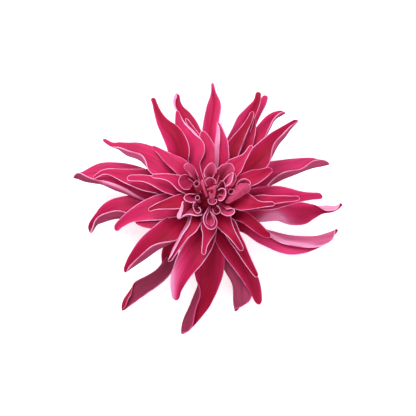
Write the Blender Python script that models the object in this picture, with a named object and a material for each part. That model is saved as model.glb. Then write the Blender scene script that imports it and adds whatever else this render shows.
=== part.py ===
"""A cut dahlia head lying face up: one fused bloom of petals on its receptacle, and the calyx under it.

Metres, +Z up. The bloom rests on the drooping tips of its lowest petals and on the cut end of the stalk.
Petal stations are chosen as the bloom is seen along a slightly tilted sight line: across and up on a plane
that faces the eye, with the height over the table as the third number. All are in millimetres.
"""

import math
from dataclasses import dataclass

import bmesh
import bpy
import numpy as np

MM = 0.001

# The sight line that petal stations are given along
EYE_TILT = math.radians(22.0)
EYE_DISTANCE = 578.0
AIM_HEIGHT = 15.0

# Bloom
AXIS_X = 2.5
AXIS_Y = -2.6
PETAL_THICKNESS = 0.8
BEND_SHARE = 0.6
STEADY = 0.25
FLAT_STATIONS = 6
ROLLED_STATIONS = 7
FLORET_STATIONS = 5

# Receptacle core: radius and height pairs from its underside to its crown
CORE_PROFILE = [(9.5, 8.0), (12.5, 11.0), (13.5, 16.0), (12.5, 21.0), (10.5, 26.0), (7.0, 30.0)]
CORE_CROWN = 31.5
CORE_SIDES = 15

# Petal roots on the core, by ring from the lowest: distance from the axis, height
RING_ROOTS = [(8.0, 11.5), (7.5, 15.0), (6.5, 19.0), (4.0, 22.0)]

# Calyx
CALYX_GAP = 0.3
STALK_RADIUS = 4.2
CUP_RADIUS = 8.6
CUP_FLOOR = 3.2
BRACT_COUNT = 8
BRACT_LENGTH = 11.0
BRACT_WIDTH = 5.2
BRACT_THICKNESS = 1.2
CALYX_SIDES = 24

# What brings the box of the whole head onto the origin
SETTLE = (-0.2, -8.9, 0.0)


@dataclass
class Petal:
    """One petal, with its width at each station. Angles in degrees, lengths in mm, shares from root to tip.

    Left and right are the roll of each margin, curl the rolled share of a half and lean the left
    half's share of the width, each for the middle and the tip. Onset is where the roll begins and where it is full. A
    rooted floret starts at its first station, and clock is the direction that it faces.
    """

    name: str
    ring: int
    line: list
    widths: tuple
    root: float = 0.45
    cup: float = 25.0
    fold: float = 0.0
    left: tuple = (0, 0)
    right: tuple = (0, 0)
    onset: tuple = (0.15, 0.5)
    curl: tuple = (0.5, 0.5)
    lean: tuple = (0.5, 0.5)
    turn: tuple = (0, 0, 0)
    clock: float = None
    rooted: bool = False


P = Petal

# Petals of the far side, as seen at the top
TOP_PETALS = [
    P("T1", 0, [(1.8, 21.5, 18), (1.1, 38.5, 13), (1.9, 44, 10.5), (2.8, 48.5, 8), (3.2, 52, 6),
                (2.9, 55.5, 4), (2.6, 59, 2), (2.2, 62.5, 0.5)],
       (10.5, 9.6, 9.4, 9.2, 7.6, 4.4, 2.2, 1.6), cup=8, fold=30),
    P("T2", 1, [(-4.5, 29, 23), (-8, 39.5, 24), (-11, 46, 23.5), (-13.4, 50, 22), (-15.4, 53.5, 21),
                (-15.6, 57.2, 20)],
       (9, 9.4, 8.2, 6.6, 6.4, 4.6), left=(120, 165), onset=(0.3, 0.8), curl=(0.35, 0.85)),
    P("T3", 2, [(-7.8, 21.5, 26.5), (-7.4, 30, 28.5), (-10.4, 35.5, 30), (-13.4, 41, 30.5),
                (-14.6, 45, 30.8), (-15.5, 48.5, 31)],
       (7.5, 12, 10.4, 7, 4, 1.4), cup=12, right=(150, 150), curl=(0.28, 0.4), lean=(0.42, 0.5)),
    P("T4", 2, [(-14, 22, 28), (-14.8, 29, 30.5), (-17.4, 36, 32), (-21.6, 42, 31.5), (-25.1, 48, 29),
                (-26.8, 52.3, 26.5), (-27.8, 55, 24)],
       (9, 12, 11, 6.8, 3.8, 2.6, 2.4), cup=20, fold=12),
    P("T5a", 2, [(-19, 18.5, 29), (-27, 23.8, 29.5), (-34, 27.2, 29.5), (-39.5, 28.6, 28.5),
                 (-44, 30.6, 27.5), (-48, 31.4, 27), (-52.2, 34.3, 26)],
       (13, 12.5, 11.2, 9.8, 5, 2.8, 1.8), cup=20, left=(150, 100), onset=(0.35, 0.6), curl=(0.6, 0.6)),
    P("T5b", 3, [(-13.5, 20.5, 34), (-19, 24.5, 33.5), (-24, 28.5, 32), (-28, 31, 30.5)],
       (8, 6.5, 3.6, 1.6), cup=12),
    P("T6", 3, [(5.8, 22.5, 32), (5.4, 31.5, 36), (5.2, 37, 37.5), (4.8, 42.5, 38)],
       (9.5, 9.6, 6.4, 2), left=(150, 150), curl=(0.55, 0.8)),
    P("T7", 2, [(-1.75, 21.5, 25), (-1, 29, 26), (-1.6, 34, 26.5), (-3, 38.2, 27)],
       (11, 9.5, 6, 2), cup=15),
]

# Petals of the right side
RIGHT_PETALS = [
    P("R8", 1, [(20.5, 19.5, 24), (27.5, 26.5, 27), (31, 30.2, 27.5), (34, 34, 27), (36.5, 36.5, 26),
                (40, 40.3, 24.5), (44.5, 44, 22)],
       (13, 12.4, 11.6, 10.8, 9.4, 5.6, 2.4), cup=20, right=(155, 150), onset=(0.4, 0.65),
      curl=(0.6, 0.7)),
    P("R9", 1, [(21, 26.5, 20), (24.5, 35, 21), (28, 41.5, 20), (30.2, 45, 19), (32.6, 46.6, 18),
                (35.2, 47.4, 16), (38, 47.8, 14)],
       (9, 8.8, 8.2, 7, 6, 5.4, 3.6), cup=20, right=(120, 170), onset=(0.4, 0.7), curl=(0.4, 0.9)),
    P("R10", 0, [(18, 30, 14), (22, 41, 15), (25.5, 47.5, 14), (28.2, 52.5, 12), (29.5, 56.5, 10)],
       (7, 7.5, 6.5, 3.6, 1.4)),
    P("R11", 0, [(11.5, 28, 18), (17, 38.5, 21), (18.8, 43, 21.5), (20.6, 46.5, 21.5), (22.8, 50, 21),
                 (24.4, 53, 20), (25.2, 58, 17)],
       (9.5, 9.4, 8.8, 7.6, 6.2, 4, 2.8), cup=10, fold=40),
    P("R12", 1, [(11, 26.5, 25), (14.5, 33.5, 25.5), (18.2, 39.5, 26), (21, 44.5, 26), (22.2, 48, 26)],
       (8.5, 6.5, 4, 2.8, 1.8), cup=20),
    P("R13", 1, [(19.5, 30, 22), (21, 35, 23), (22.3, 40, 23), (23, 46, 22)],
       (5, 4.5, 3.5, 1.5), cup=20),
    P("R14", 3, [(11, 18, 33), (13.2, 20.4, 34.5), (15.8, 23.1, 35.5), (18.2, 25.6, 36), (20, 28.2, 36),
                 (21.8, 31, 36)],
       (9, 9, 6.2, 3.2, 2.2, 2)),
    P("R6", 0, [(24, 14, 15), (31, 16, 15), (38.5, 18, 15), (46, 20, 14), (52, 21.4, 13),
                (56.5, 21.6, 11.5), (60.5, 22, 10)],
       (15.5, 15.5, 14, 12.2, 10.6, 8.2, 3.2), cup=12, right=(155, 160), onset=(0.3, 0.6),
      curl=(0.58, 0.8), lean=(0.48, 0.36)),
    P("R7", 3, [(17, 12.5, 33), (22.5, 15, 34), (26.5, 16.6, 34), (29.5, 18.2, 33.5), (31.7, 19.3, 33)],
       (8, 8, 6, 4.2, 2.8), cup=20),
    P("R3", 1, [(23.5, 4, 23), (31, 4.7, 25), (36, 5.3, 25.3), (41, 5.6, 25), (46, 5.6, 23.5),
                (51, 5.8, 21.5), (57, 6, 18)],
       (12, 13, 11.6, 9, 6, 4.2, 3.6), cup=20),
    P("R4", 2, [(26, 3.2, 28), (32, 3.8, 29), (38, 4.4, 29), (43, 4.6, 28.7), (45.5, 5, 28.3)],
       (6.6, 4.8, 3.6, 2.8, 2.4)),
    P("R5", 3, [(14, 3.5, 32), (17.5, 3, 33), (21, 2.4, 34), (25, 1.7, 34), (29, 1.8, 33.5),
                (33, 2.1, 33)],
       (9, 10, 7.8, 4, 2.6, 2.4), cup=20),
    P("R2", 0, [(27, -2, 18), (34.5, -1.5, 16), (41, -2.6, 13.5), (46, -2.6, 11), (49, -1.9, 9.5),
                (54, -1.8, 7), (57, -1.9, 5.5), (60, -1.8, 4), (63.5, -1.1, 2.2), (66.8, 1.8, 0.5)],
       (10.5, 10.5, 12.5, 11.6, 9.8, 6, 6.4, 7, 4.5, 1.6), cup=0, left=(160, 165), onset=(0.72, 0.86),
      curl=(0.58, 0.6), lean=(0.9, 0.92)),
    P("R1", 0, [(21, -9, 16), (27, -13, 14), (33.5, -14.8, 12), (41, -16.4, 11), (48.5, -16.9, 11),
                (55, -16, 12), (60.5, -13.2, 13), (64, -11, 14)],
       (14, 15, 16.5, 17, 16, 13, 8, 3), cup=10, left=(165, 170), onset=(0.05, 0.55), curl=(0.8, 0.9),
      lean=(0.54, 0.78)),
    P("R1c", 1, [(17.5, -4.5, 27), (22.5, -8, 27), (27, -11.8, 26), (29.5, -13.3, 25), (31, -14, 24)],
       (6, 5.5, 4.5, 3.4, 2.4), cup=20),
]

# Petals of the near side, as seen at the bottom
BOTTOM_PETALS = [
    P("B7", 3, [(6.5, -5, 31), (9, -9.5, 32.5), (12, -13.5, 33), (14.8, -17.5, 32), (17, -21, 30.5)],
       (9.5, 7, 4.4, 3.2, 2.4)),
    P("B8", 2, [(10, -8.5, 26), (13, -14.5, 26), (15.8, -19, 25.8), (19, -25, 24.5), (22.5, -31, 22),
                (24.6, -34.2, 20)],
       (8, 7, 6, 4.6, 3.2, 2), cup=30),
    P("B9", 1, [(7, -12, 20), (10, -18, 20), (14, -24, 18), (18, -30, 16), (21, -35, 13.5),
                (23.3, -40, 11), (24.8, -45, 9), (25.6, -48, 8)],
       (10, 10.5, 10, 9, 8, 6.4, 4.4, 2.4), cup=20),
    P("B10", 0, [(5, -20, 14), (9.5, -26, 12), (12.4, -31, 10.5), (13.9, -38, 7.5), (14.4, -44, 5.5),
                 (13.9, -48, 4.6), (14, -51.5, 4)],
       (13, 15, 15.7, 15.8, 15.6, 8, 2), cup=8, right=(165, 165), onset=(0.05, 0.35), curl=(0.9, 0.9),
      lean=(0.32, 0.3)),
    P("B6", 3, [(0.5, -7, 30.5), (0.5, -11, 31.5), (0, -13.5, 31.5), (-1, -16.5, 31), (-1.8, -19.5, 30),
                (-2.2, -23, 29)],
       (8, 7.6, 5.4, 3.6, 2.4, 2), cup=20),
    P("B5", 0, [(0.5, -16, 19), (1, -24, 18), (0.5, -31, 15.5), (0, -38.5, 13), (-3, -46, 9),
                (-5.6, -51, 6.5), (-8.5, -56, 4), (-11, -60, 2), (-12.8, -63, 0.5)],
       (12, 14.2, 14.6, 12, 18, 17.8, 16, 10, 2), cup=10, right=(160, 160), onset=(0.48, 0.68),
      curl=(0.5, 0.72), lean=(0.38, 0.32)),
    P("B4", 1, [(-1.5, -13.5, 24), (-4.5, -19, 25), (-7.8, -24, 24.5), (-10.8, -28.5, 23),
                (-13.5, -33.5, 21), (-15.3, -38.5, 18), (-16, -42.5, 16), (-16, -45.5, 14)],
       (11, 13, 13, 11.6, 9.4, 6.8, 4.4, 2.8), cup=20),
    P("B3", 2, [(-7, -5, 31), (-9.4, -9.5, 32), (-12.6, -13.5, 32), (-15, -17.5, 31), (-17.4, -21.5, 30),
                (-19.6, -26.4, 28)],
       (9, 8.6, 6, 5.2, 4.2, 2.2), cup=20, right=(150, 150), curl=(0.6, 0.8)),
    P("B2", 0, [(-16.5, -22, 12), (-19, -27, 11), (-22.8, -32.5, 9.5), (-27.8, -36.4, 8),
                (-33.3, -39.6, 7), (-37.4, -43, 6.2), (-40.4, -46.6, 5.6), (-42.6, -51.2, 5)],
       (8, 7.6, 7.8, 8.4, 9, 9.4, 8.4, 3), cup=8, left=(-150, -165), onset=(0.74, 0.86), curl=(0.7, 0.75),
      lean=(0.6, 0.74), turn=(0, 165, 180)),
    P("B2b", 1, [(-14, -12, 18), (-18, -18, 14), (-20.5, -23, 10), (-20.8, -27, 7.5), (-22, -31.5, 5.5)],
       (8, 7, 5.6, 4.6, 3.4), cup=15),
    P("B1", 1, [(-17, -10, 25), (-22, -14.5, 26), (-26, -17.7, 25.5), (-30, -21.2, 24), (-34, -24.7, 22),
                (-37.5, -27.8, 19.5), (-40, -30.3, 18), (-41.5, -32, 17)],
       (13, 14, 14, 13.4, 11, 8, 4.8, 2.8), cup=20, left=(155, 155), onset=(0.28, 0.6),
      curl=(0.62, 0.62)),
]

# Petals of the left side
LEFT_PETALS = [
    P("L1", 0, [(-36.5, 13, 15), (-43, 15.1, 15), (-51.5, 17, 14), (-57.5, 16.7, 13), (-61.5, 16.2, 12),
                (-64.5, 16.1, 11), (-67.2, 15.5, 10)],
       (18.5, 18.2, 15, 12.4, 10.6, 7.6, 3), cup=12, left=(155, 165), onset=(0.15, 0.78), curl=(0.3, 0.8),
      lean=(0.57, 0.82)),
    P("L2", 1, [(-23, 12, 22), (-30, 13.5, 23), (-37, 15, 22.5), (-41.5, 16.1, 21.5), (-45, 17.1, 20.5),
                (-49, 18.1, 19), (-52.3, 18, 18), (-55.3, 16.4, 16.5), (-57.2, 15, 15)],
       (12.5, 12.3, 9.6, 7.4, 5.4, 3.6, 2.6, 2, 1.6), cup=20),
    P("L3", 2, [(-15, 9.5, 29), (-20, 11, 30), (-25.5, 12.9, 30), (-29, 14, 29.5), (-32.5, 14.8, 29),
                (-36, 14.9, 28), (-40.2, 15, 26.5)],
       (9, 8.5, 6, 4.4, 3.7, 3.5, 3.2)),
    P("L4", 3, [(-10.5, 10.5, 33.5), (-13, 11.8, 34.5), (-15.5, 13.4, 35.5), (-18.5, 14.8, 36),
                (-21.5, 15.6, 36), (-25.5, 15.9, 35.5), (-27.8, 16, 35)],
       (8, 8.4, 6.7, 4.5, 3.3, 2.4, 2)),
    P("L6", 0, [(-33, -0.5, 14), (-39.5, -0.2, 14), (-45, -0.3, 13.5), (-50, -1.8, 11),
                (-53.2, -4.2, 8.5), (-55.6, -7.2, 5.5), (-57.3, -10, 3), (-58.6, -12.5, 0.5)],
       (15.5, 16, 16, 14.6, 11.8, 8.6, 7.4, 5.4), cup=10, left=(155, 150), onset=(0.35, 0.66),
      lean=(0.64, 0.62)),
    P("L7", 1, [(-18, 1, 24), (-23.5, 0, 24.5), (-29.5, -1.2, 24), (-34.5, -2.7, 22.5), (-39, -4.6, 20.5),
                (-42, -6.7, 18.5), (-44.7, -8.9, 16), (-46.2, -11, 14)],
       (13, 13.8, 11.6, 9, 6.2, 5, 4.2, 3.4), cup=20),
    P("L9", 0, [(-20, -5.8, 24), (-26, -7.5, 24), (-31, -7.9, 23), (-36, -7, 21.5)],
       (8, 6.5, 4.5, 1.6), cup=15),
    P("L8", 3, [(-11.5, 3.2, 32), (-16.5, 2.5, 33), (-21.5, 1.6, 33), (-25.2, 0.8, 32), (-27.3, 0, 31.3),
                (-29.5, -1, 30.5)],
       (8, 7, 4.8, 3.3, 2.4, 2), cup=20),
]

# Small quilled florets of the centre
CENTRE_FLORETS = [
    P("C1", 3, [(-4, 11.5, 31), (-7.5, 16, 38), (-11, 21.5, 41)], (7.6, 9.5, 6.6), cup=85),
    P("C2", 3, [(1.5, 9, 32), (1.5, 15.5, 38), (1.8, 22.5, 41)], (7.2, 9, 6.3), cup=80),
    P("C3", 3, [(5.5, 11, 32), (7.5, 16.5, 38), (10, 22, 41)], (8.4, 10.5, 7.3), cup=60),
    P("C4", 3, [(8, 11, 34), (10.5, 14.5, 39), (12.5, 17.8, 42)], (4.4, 5.5, 3.8), cup=90),
    P("C5", 3, [(-5.5, 10, 33), (-9, 12, 38), (-14, 14.2, 38)], (5.6, 7, 4.9), cup=30),
    P("C6", 3, [(10, 6, 32), (15, 9, 37), (21, 12, 37)], (7.2, 9, 6.3), cup=40, left=(90, 90)),
    P("C8", 3, [(-5.2, 11, 24), (-5.5, 12, 34), (-5.8, 12.4, 40)],
      (7, 6), rooted=True, clock=130, root=0.8, cup=155),
    P("C9", 3, [(-4.5, 4, 24), (-5, 5, 34), (-5.2, 5.3, 40)],
      (6, 5.1), rooted=True, clock=170, root=0.8, cup=155),
    P("C10", 3, [(-4, 4, 31), (-8, 5, 36), (-12, 5.5, 38)], (4.8, 6, 4.2), cup=100),
    P("C11", 3, [(-4.5, -0.5, 24), (-5, 0.3, 34), (-5.5, 0.5, 39)],
      (9, 7.6), rooted=True, clock=185, root=0.7, cup=125),
    P("C12", 3, [(-5, 1, 30), (-9.5, -1.5, 34), (-15, -5.5, 34)], (6.4, 8, 5.6), cup=20),
    P("C13", 3, [(2, 4, 24), (2.2, 4.5, 34), (2.2, 4.5, 41)],
      (7, 6), rooted=True, clock=280, root=0.7, cup=95),
    P("C14", 3, [(4.6, -0.5, 24), (5.1, 0, 34), (5.1, -0.3, 40)],
      (6.5, 5.5), rooted=True, clock=300, root=0.7, cup=120),
    P("C15", 3, [(5, 1, 33), (9, -1, 37), (12.8, -2.5, 37)], (5.6, 7, 4.9), cup=60),
    P("C16", 3, [(6, 6, 24), (6.5, 6.8, 34), (6.8, 6.8, 42)],
      (9, 7.6), rooted=True, clock=10, root=0.7, cup=130),
    P("C17", 3, [(11, 8, 24), (11.3, 8.3, 34), (11.5, 8.5, 40)],
      (6, 5.1), rooted=True, clock=20, root=0.8, cup=155),
    P("C18", 3, [(1, 12, 24), (1.2, 13, 34), (1.2, 13.8, 42)],
      (8, 6.8), rooted=True, clock=90, root=0.7, cup=90),
    P("C19", 3, [(2, 8, 24), (2, 8.5, 36), (2, 9, 44)], (6, 5.1), rooted=True, clock=90, root=0.8, cup=150),
    P("C20", 3, [(1, 1.5, 33), (1, -3.5, 38), (1.5, -10, 36)], (8.8, 11, 7.7), cup=85),
    P("C21", 3, [(-1.5, 5, 33), (-2.5, 9, 40), (-2.5, 13.5, 43)], (3.6, 4.5, 3.1), cup=60),
    P("C22", 3, [(6.5, 11, 24), (7, 12, 34), (7, 12.2, 41)],
      (7, 6), rooted=True, clock=45, root=0.7, cup=120),
]


def clear_scene():
    for item in list(bpy.data.objects):
        bpy.data.objects.remove(item, do_unlink=True)


def plain_material(name, colour, roughness):
    material = bpy.data.materials.new(name)
    material.use_nodes = True
    shader = material.node_tree.nodes["Principled BSDF"]
    shader.inputs["Base Color"].default_value = (*colour, 1.0)
    shader.inputs["Roughness"].default_value = roughness
    return material


def petal_material():
    return plain_material("petal_pink", (0.62, 0.03, 0.12), 0.55)


def bract_material():
    return plain_material("bract_green", (0.13, 0.25, 0.06), 0.6)


def smooth_step(x):
    x = min(max(x, 0.0), 1.0)
    return x * x * (3 - 2 * x)


def place(station):
    """Point on the sight line through (across, up) that lies at the height lift."""
    across, up, lift = station
    back = np.array([0.0, -math.sin(EYE_TILT), math.cos(EYE_TILT)])
    upward = np.array([0.0, math.cos(EYE_TILT), math.sin(EYE_TILT)])
    aim = np.array([0.0, 0.0, AIM_HEIGHT])
    eye = aim + EYE_DISTANCE * back
    seen = aim + np.array([across, 0.0, 0.0]) + up * upward
    ray = seen - eye
    return eye + ray * (lift - eye[2]) / ray[2]


def curve_slopes(points, knots):
    """Slopes of a smooth curve through the points, with each knot's neighbours weighed by distance."""
    steps = np.diff(points, axis=0) / np.diff(knots)[:, None]
    slopes = np.zeros_like(points)
    for i in range(1, len(points) - 1):
        share = (knots[i + 1] - knots[i]) / (knots[i + 1] - knots[i - 1])
        slopes[i] = share * steps[i - 1] + (1 - share) * steps[i]
    slopes[0] = 1.5 * steps[0] - 0.5 * slopes[1]
    slopes[-1] = 1.5 * steps[-1] - 0.5 * slopes[-2]
    return slopes


def centre_line(points, places):
    """Smooth curve through the stations: points and directions at the places, length, stations' shares."""
    points = np.asarray(points, float)
    gaps = np.sqrt(np.linalg.norm(np.diff(points, axis=0), axis=1))
    knots = np.concatenate([[0.0], np.cumsum(gaps)])
    slopes = curve_slopes(points, knots)
    spots = np.linspace(0, knots[-1], 300)
    fine = []
    for x in spots:
        i = min(max(int(np.searchsorted(knots, x) - 1), 0), len(points) - 2)
        h = knots[i + 1] - knots[i]
        s = (x - knots[i]) / h
        start = (2 * s**3 - 3 * s**2 + 1) * points[i] + (s**3 - 2 * s**2 + s) * h * slopes[i]
        end = (3 * s**2 - 2 * s**3) * points[i + 1] + (s**3 - s**2) * h * slopes[i + 1]
        fine.append(start + end)
    fine = np.array(fine)
    arc = np.concatenate([[0.0], np.cumsum(np.linalg.norm(np.diff(fine, axis=0), axis=1))])
    heading = np.gradient(fine, arc, axis=0)
    along = np.asarray(places) * arc[-1]
    line = np.stack([np.interp(along, arc, fine[:, k]) for k in range(3)], 1)
    heading = np.stack([np.interp(along, arc, heading[:, k]) for k in range(3)], 1)
    shares = np.interp(knots, spots, arc) / arc[-1]
    return line, heading / np.linalg.norm(heading, axis=1)[:, None], arc[-1], shares


def turn_at(turn, u):
    """Roll of the whole blade about its centre line, given at the root, the middle and the tip."""
    root, middle, tip = turn
    if u < 0.5:
        return root + (middle - root) * smooth_step(u / 0.5)
    return middle + (tip - middle) * smooth_step((u - 0.5) / 0.5)


def margin_at(angles, onset, u):
    """How far a margin is rolled over the face: nothing at the root, full well before the onset's end."""
    middle, tip = angles
    first, full = onset
    rest = smooth_step((u - full) / (1 - full))
    return smooth_step((u - first) / (0.65 * (full - first))) * (middle + (tip - middle) * rest)


def curl_at(petal, u):
    """Share of a half that is rolled: it grows from a narrow hem over the onset, then on to the tip's."""
    first, full = petal.onset
    middle, tip = petal.curl
    grown = middle + (tip - middle) * smooth_step((u - full) / (1 - full))
    return grown * (0.3 + 0.7 * smooth_step((u - first) / (full - first)))


def lean_at(petal, u):
    """Share of the width that the left half has: even at the root, then the middle's, then the tip's."""
    first, full = petal.onset
    middle, tip = petal.lean
    grown = middle + (tip - middle) * smooth_step((u - full) / (1 - full))
    return 0.5 + (grown - 0.5) * smooth_step((u - first) / (full - first))


def even_slopes(shares, values):
    """Slopes that carry a smooth curve through the values with no overshoot."""
    steps = np.diff(values) / np.diff(shares)
    slopes = np.zeros(len(values))
    for i in range(1, len(values) - 1):
        if steps[i - 1] * steps[i] > 0:
            slopes[i] = 2 * steps[i - 1] * steps[i] / (steps[i - 1] + steps[i])
    slopes[-1] = steps[-1]
    return slopes


def half_width_at(petal, shares, length, u):
    """Half the width at u: smooth between the stations and rounded off at the tip."""
    values = np.array([petal.root * max(petal.widths), *petal.widths]) / 2
    slopes = even_slopes(shares, values)
    i = min(max(int(np.searchsorted(shares, u) - 1), 0), len(values) - 2)
    h = shares[i + 1] - shares[i]
    s = (u - shares[i]) / h
    width = (2 * s**3 - 3 * s**2 + 1) * values[i] + (s**3 - 2 * s**2 + s) * h * slopes[i]
    width += (3 * s**2 - 2 * s**3) * values[i + 1] + (s**3 - s**2) * h * slopes[i + 1]
    end = min(values[-1] / length, 0.2)
    past = min(max((u - 1 + end) / end, 0.0), 1.0)
    return width * math.sqrt(1 - past * past)


def root_and_line(petal):
    """Root point, the other stations, and the level direction that the petal grows in."""
    stations = [place(q) for q in petal.line]
    axis = np.array([AXIS_X, AXIS_Y])
    toward = stations[0][:2] - axis
    if np.linalg.norm(toward) < 6:
        toward = stations[-1][:2] - axis
    angle = math.atan2(toward[1], toward[0])
    if petal.clock is not None:
        angle = math.radians(petal.clock)
    outward = np.array([math.cos(angle), math.sin(angle), 0.0])
    radius, height = RING_ROOTS[petal.ring]
    root = np.array([AXIS_X, AXIS_Y, height]) + radius * outward
    if petal.rooted:
        root = stations.pop(0)
    if petal.clock is None:
        reach = stations[-1] - root
        outward = np.array([reach[0], reach[1], 0.0]) / math.hypot(reach[0], reach[1])
    return root, stations, outward


def half_section(petal, half_width, ease, margin, curl, turn, sign, shares):
    """Offsets and tilt of one half of the cross-section at the given shares of the half width."""
    count = 40
    s = (np.arange(count) + 0.5) / count
    edge = np.linspace(0, 1, count + 1)

    def tilt(share):
        rolled = np.clip((share - (1 - curl)) / (BEND_SHARE * curl), 0, 1)
        folded = petal.fold * np.tanh(share / 0.12)
        return sign * np.radians(ease * (petal.cup * share + folded) + margin * rolled) + turn

    sideways = np.concatenate([[0.0], np.cumsum(np.cos(tilt(s)))]) * sign * half_width / count
    upward = np.concatenate([[0.0], np.cumsum(np.sin(tilt(s)))]) * sign * half_width / count
    return [(np.interp(v, edge, sideways), np.interp(v, edge, upward), tilt(v)) for v in shares]


def blade(petal, count):
    """Middle surface of the blade: rows of points from root to tip with their normals."""
    places = 1 - (1 - np.linspace(0, 1, count)) ** 1.3
    root, line, outward = root_and_line(petal)
    centre, heading, length, stations = centre_line([root] + line, places)
    rolled = petal.left != (0, 0) or petal.right != (0, 0)
    rows = []
    for i, u in enumerate(places):
        level = np.cross(heading[i] + STEADY * outward, [0.0, 0.0, 1.0])
        if petal.clock is not None:
            level = np.cross(outward, [0.0, 0.0, 1.0])
        normal = np.cross(level, heading[i])
        normal /= np.linalg.norm(normal)
        side = np.cross(heading[i], normal)
        even_half = max(half_width_at(petal, stations, length, u), 0.12)
        ease = min(even_half / (0.225 * max(petal.widths)), 1.0)
        turn = math.radians(turn_at(petal.turn, u))
        curl = curl_at(petal, u)
        lean = lean_at(petal, u)
        shares = (0.0, 0.5, 1.0)
        if rolled:
            shares = (0.0, 1 - curl, 1 - curl + BEND_SHARE * curl, 1.0)
        row = []
        for sign, angles, part in ((-1, petal.left, lean), (1, petal.right, 1 - lean)):
            margin = margin_at(angles, petal.onset, u) * ease
            half = half_section(petal, 2 * part * even_half, ease, margin, curl, turn, sign, shares)
            if sign < 0:
                half = half[:0:-1]
            for x, y, angle in half:
                point = centre[i] + x * side + y * normal
                facing = math.cos(angle) * normal - math.sin(angle) * side
                row.append((point, facing))
        rows.append(row)
    return rows


def petal_object(petal, collection):
    """Closed solid blade of even thickness, split into the same triangles on both faces."""
    count = FLAT_STATIONS
    if petal.left != (0, 0) or petal.right != (0, 0):
        count = ROLLED_STATIONS
    if petal.name.startswith("C"):
        count = FLORET_STATIONS
    rows = blade(petal, count)
    mesh = bmesh.new()
    half = 0.5 * PETAL_THICKNESS
    sheets = []
    for sign in (1, -1):
        sheet = []
        for row in rows[:-1]:
            sheet.append([mesh.verts.new((p + sign * half * n) * MM) for p, n in row])
        middle = len(rows[-1]) // 2
        p, n = rows[-1][middle]
        tip = mesh.verts.new((p + 0.6 * sign * half * n) * MM)
        sheets.append((sheet, tip))
    (upper, upper_tip), (lower, lower_tip) = sheets
    columns = len(upper[0])
    for sheet, tip in sheets:
        for i in range(len(sheet) - 1):
            for j in range(columns - 1):
                mesh.faces.new((sheet[i][j], sheet[i][j + 1], sheet[i + 1][j + 1]))
                mesh.faces.new((sheet[i][j], sheet[i + 1][j + 1], sheet[i + 1][j]))
        for j in range(columns - 1):
            mesh.faces.new((sheet[-1][j], sheet[-1][j + 1], tip))
    for j in (0, columns - 1):
        for i in range(len(upper) - 1):
            mesh.faces.new((upper[i][j], upper[i + 1][j], lower[i + 1][j]))
            mesh.faces.new((upper[i][j], lower[i + 1][j], lower[i][j]))
        mesh.faces.new((upper[-1][j], upper_tip, lower_tip))
        mesh.faces.new((upper[-1][j], lower_tip, lower[-1][j]))
    for j in range(columns - 1):
        mesh.faces.new((upper[0][j], upper[0][j + 1], lower[0][j + 1]))
        mesh.faces.new((upper[0][j], lower[0][j + 1], lower[0][j]))
    bmesh.ops.recalc_face_normals(mesh, faces=mesh.faces)
    return object_from(mesh, "petal_" + petal.name, collection)


def lathe(profile, crown, floor, sides, centre, phase=0.0):
    """Closed turned solid: rings of the profile between a floor point and a crown point."""
    mesh = bmesh.new()
    x, y = centre
    rings = []
    for radius, height in profile:
        ring = []
        for k in range(sides):
            angle = phase + 2 * math.pi * k / sides
            ring.append(mesh.verts.new((
                (x + radius * math.cos(angle)) * MM,
                (y + radius * math.sin(angle)) * MM,
                height * MM,
            )))
        rings.append(ring)
    for lower, upper in zip(rings, rings[1:]):
        for k in range(sides):
            after = (k + 1) % sides
            mesh.faces.new((lower[k], lower[after], upper[after]))
            mesh.faces.new((lower[k], upper[after], upper[k]))
    for ring, height in ((rings[0], floor), (rings[-1], crown)):
        pole = mesh.verts.new((x * MM, y * MM, height * MM))
        for k in range(sides):
            mesh.faces.new((ring[k], ring[(k + 1) % sides], pole))
    bmesh.ops.recalc_face_normals(mesh, faces=mesh.faces)
    return mesh


def object_from(mesh, name, collection):
    data = bpy.data.meshes.new(name)
    mesh.to_mesh(data)
    mesh.free()
    made = bpy.data.objects.new(name, data)
    collection.objects.link(made)
    return made


def fuse(base, others, solver):
    """One solid out of the base and all objects of the collection."""
    union = base.modifiers.new("fuse", "BOOLEAN")
    union.operation = "UNION"
    union.operand_type = "COLLECTION"
    union.collection = others
    union.solver = solver
    bpy.context.view_layer.update()
    graph = bpy.context.evaluated_depsgraph_get()
    fused = bpy.data.meshes.new_from_object(base.evaluated_get(graph))
    base.modifiers.clear()
    base.data = fused
    for item in list(others.objects):
        bpy.data.objects.remove(item, do_unlink=True)
    bpy.data.collections.remove(others)


def finish_node(node, material):
    """Fills sealed hollows, drops loose scraps, settles the place, shades smooth and sets the material."""
    mesh = bmesh.new()
    mesh.from_mesh(node.data)
    bmesh.ops.triangulate(mesh, faces=mesh.faces)
    keep_largest(mesh)
    bmesh.ops.translate(mesh, verts=mesh.verts, vec=[s * MM for s in SETTLE])
    mesh.to_mesh(node.data)
    mesh.free()
    node.data.materials.clear()
    node.data.materials.append(material)
    for face in node.data.polygons:
        face.use_smooth = True


def keep_largest(mesh):
    """Removes every connected piece but the one with the most faces: sealed hollows and loose scraps."""
    mesh.faces.ensure_lookup_table()
    seen = set()
    pieces = []
    for start in mesh.faces:
        if start in seen:
            continue
        stack = [start]
        seen.add(start)
        piece = []
        while stack:
            face = stack.pop()
            piece.append(face)
            for edge in face.edges:
                if len(edge.link_faces) != 2:
                    continue
                for other in edge.link_faces:
                    if other not in seen:
                        seen.add(other)
                        stack.append(other)
        pieces.append(piece)
    pieces.sort(key=len)
    for piece in pieces[:-1]:
        bmesh.ops.delete(mesh, geom=piece, context="FACES")
    loose = [v for v in mesh.verts if not v.link_faces]
    bmesh.ops.delete(mesh, geom=loose, context="VERTS")


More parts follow.
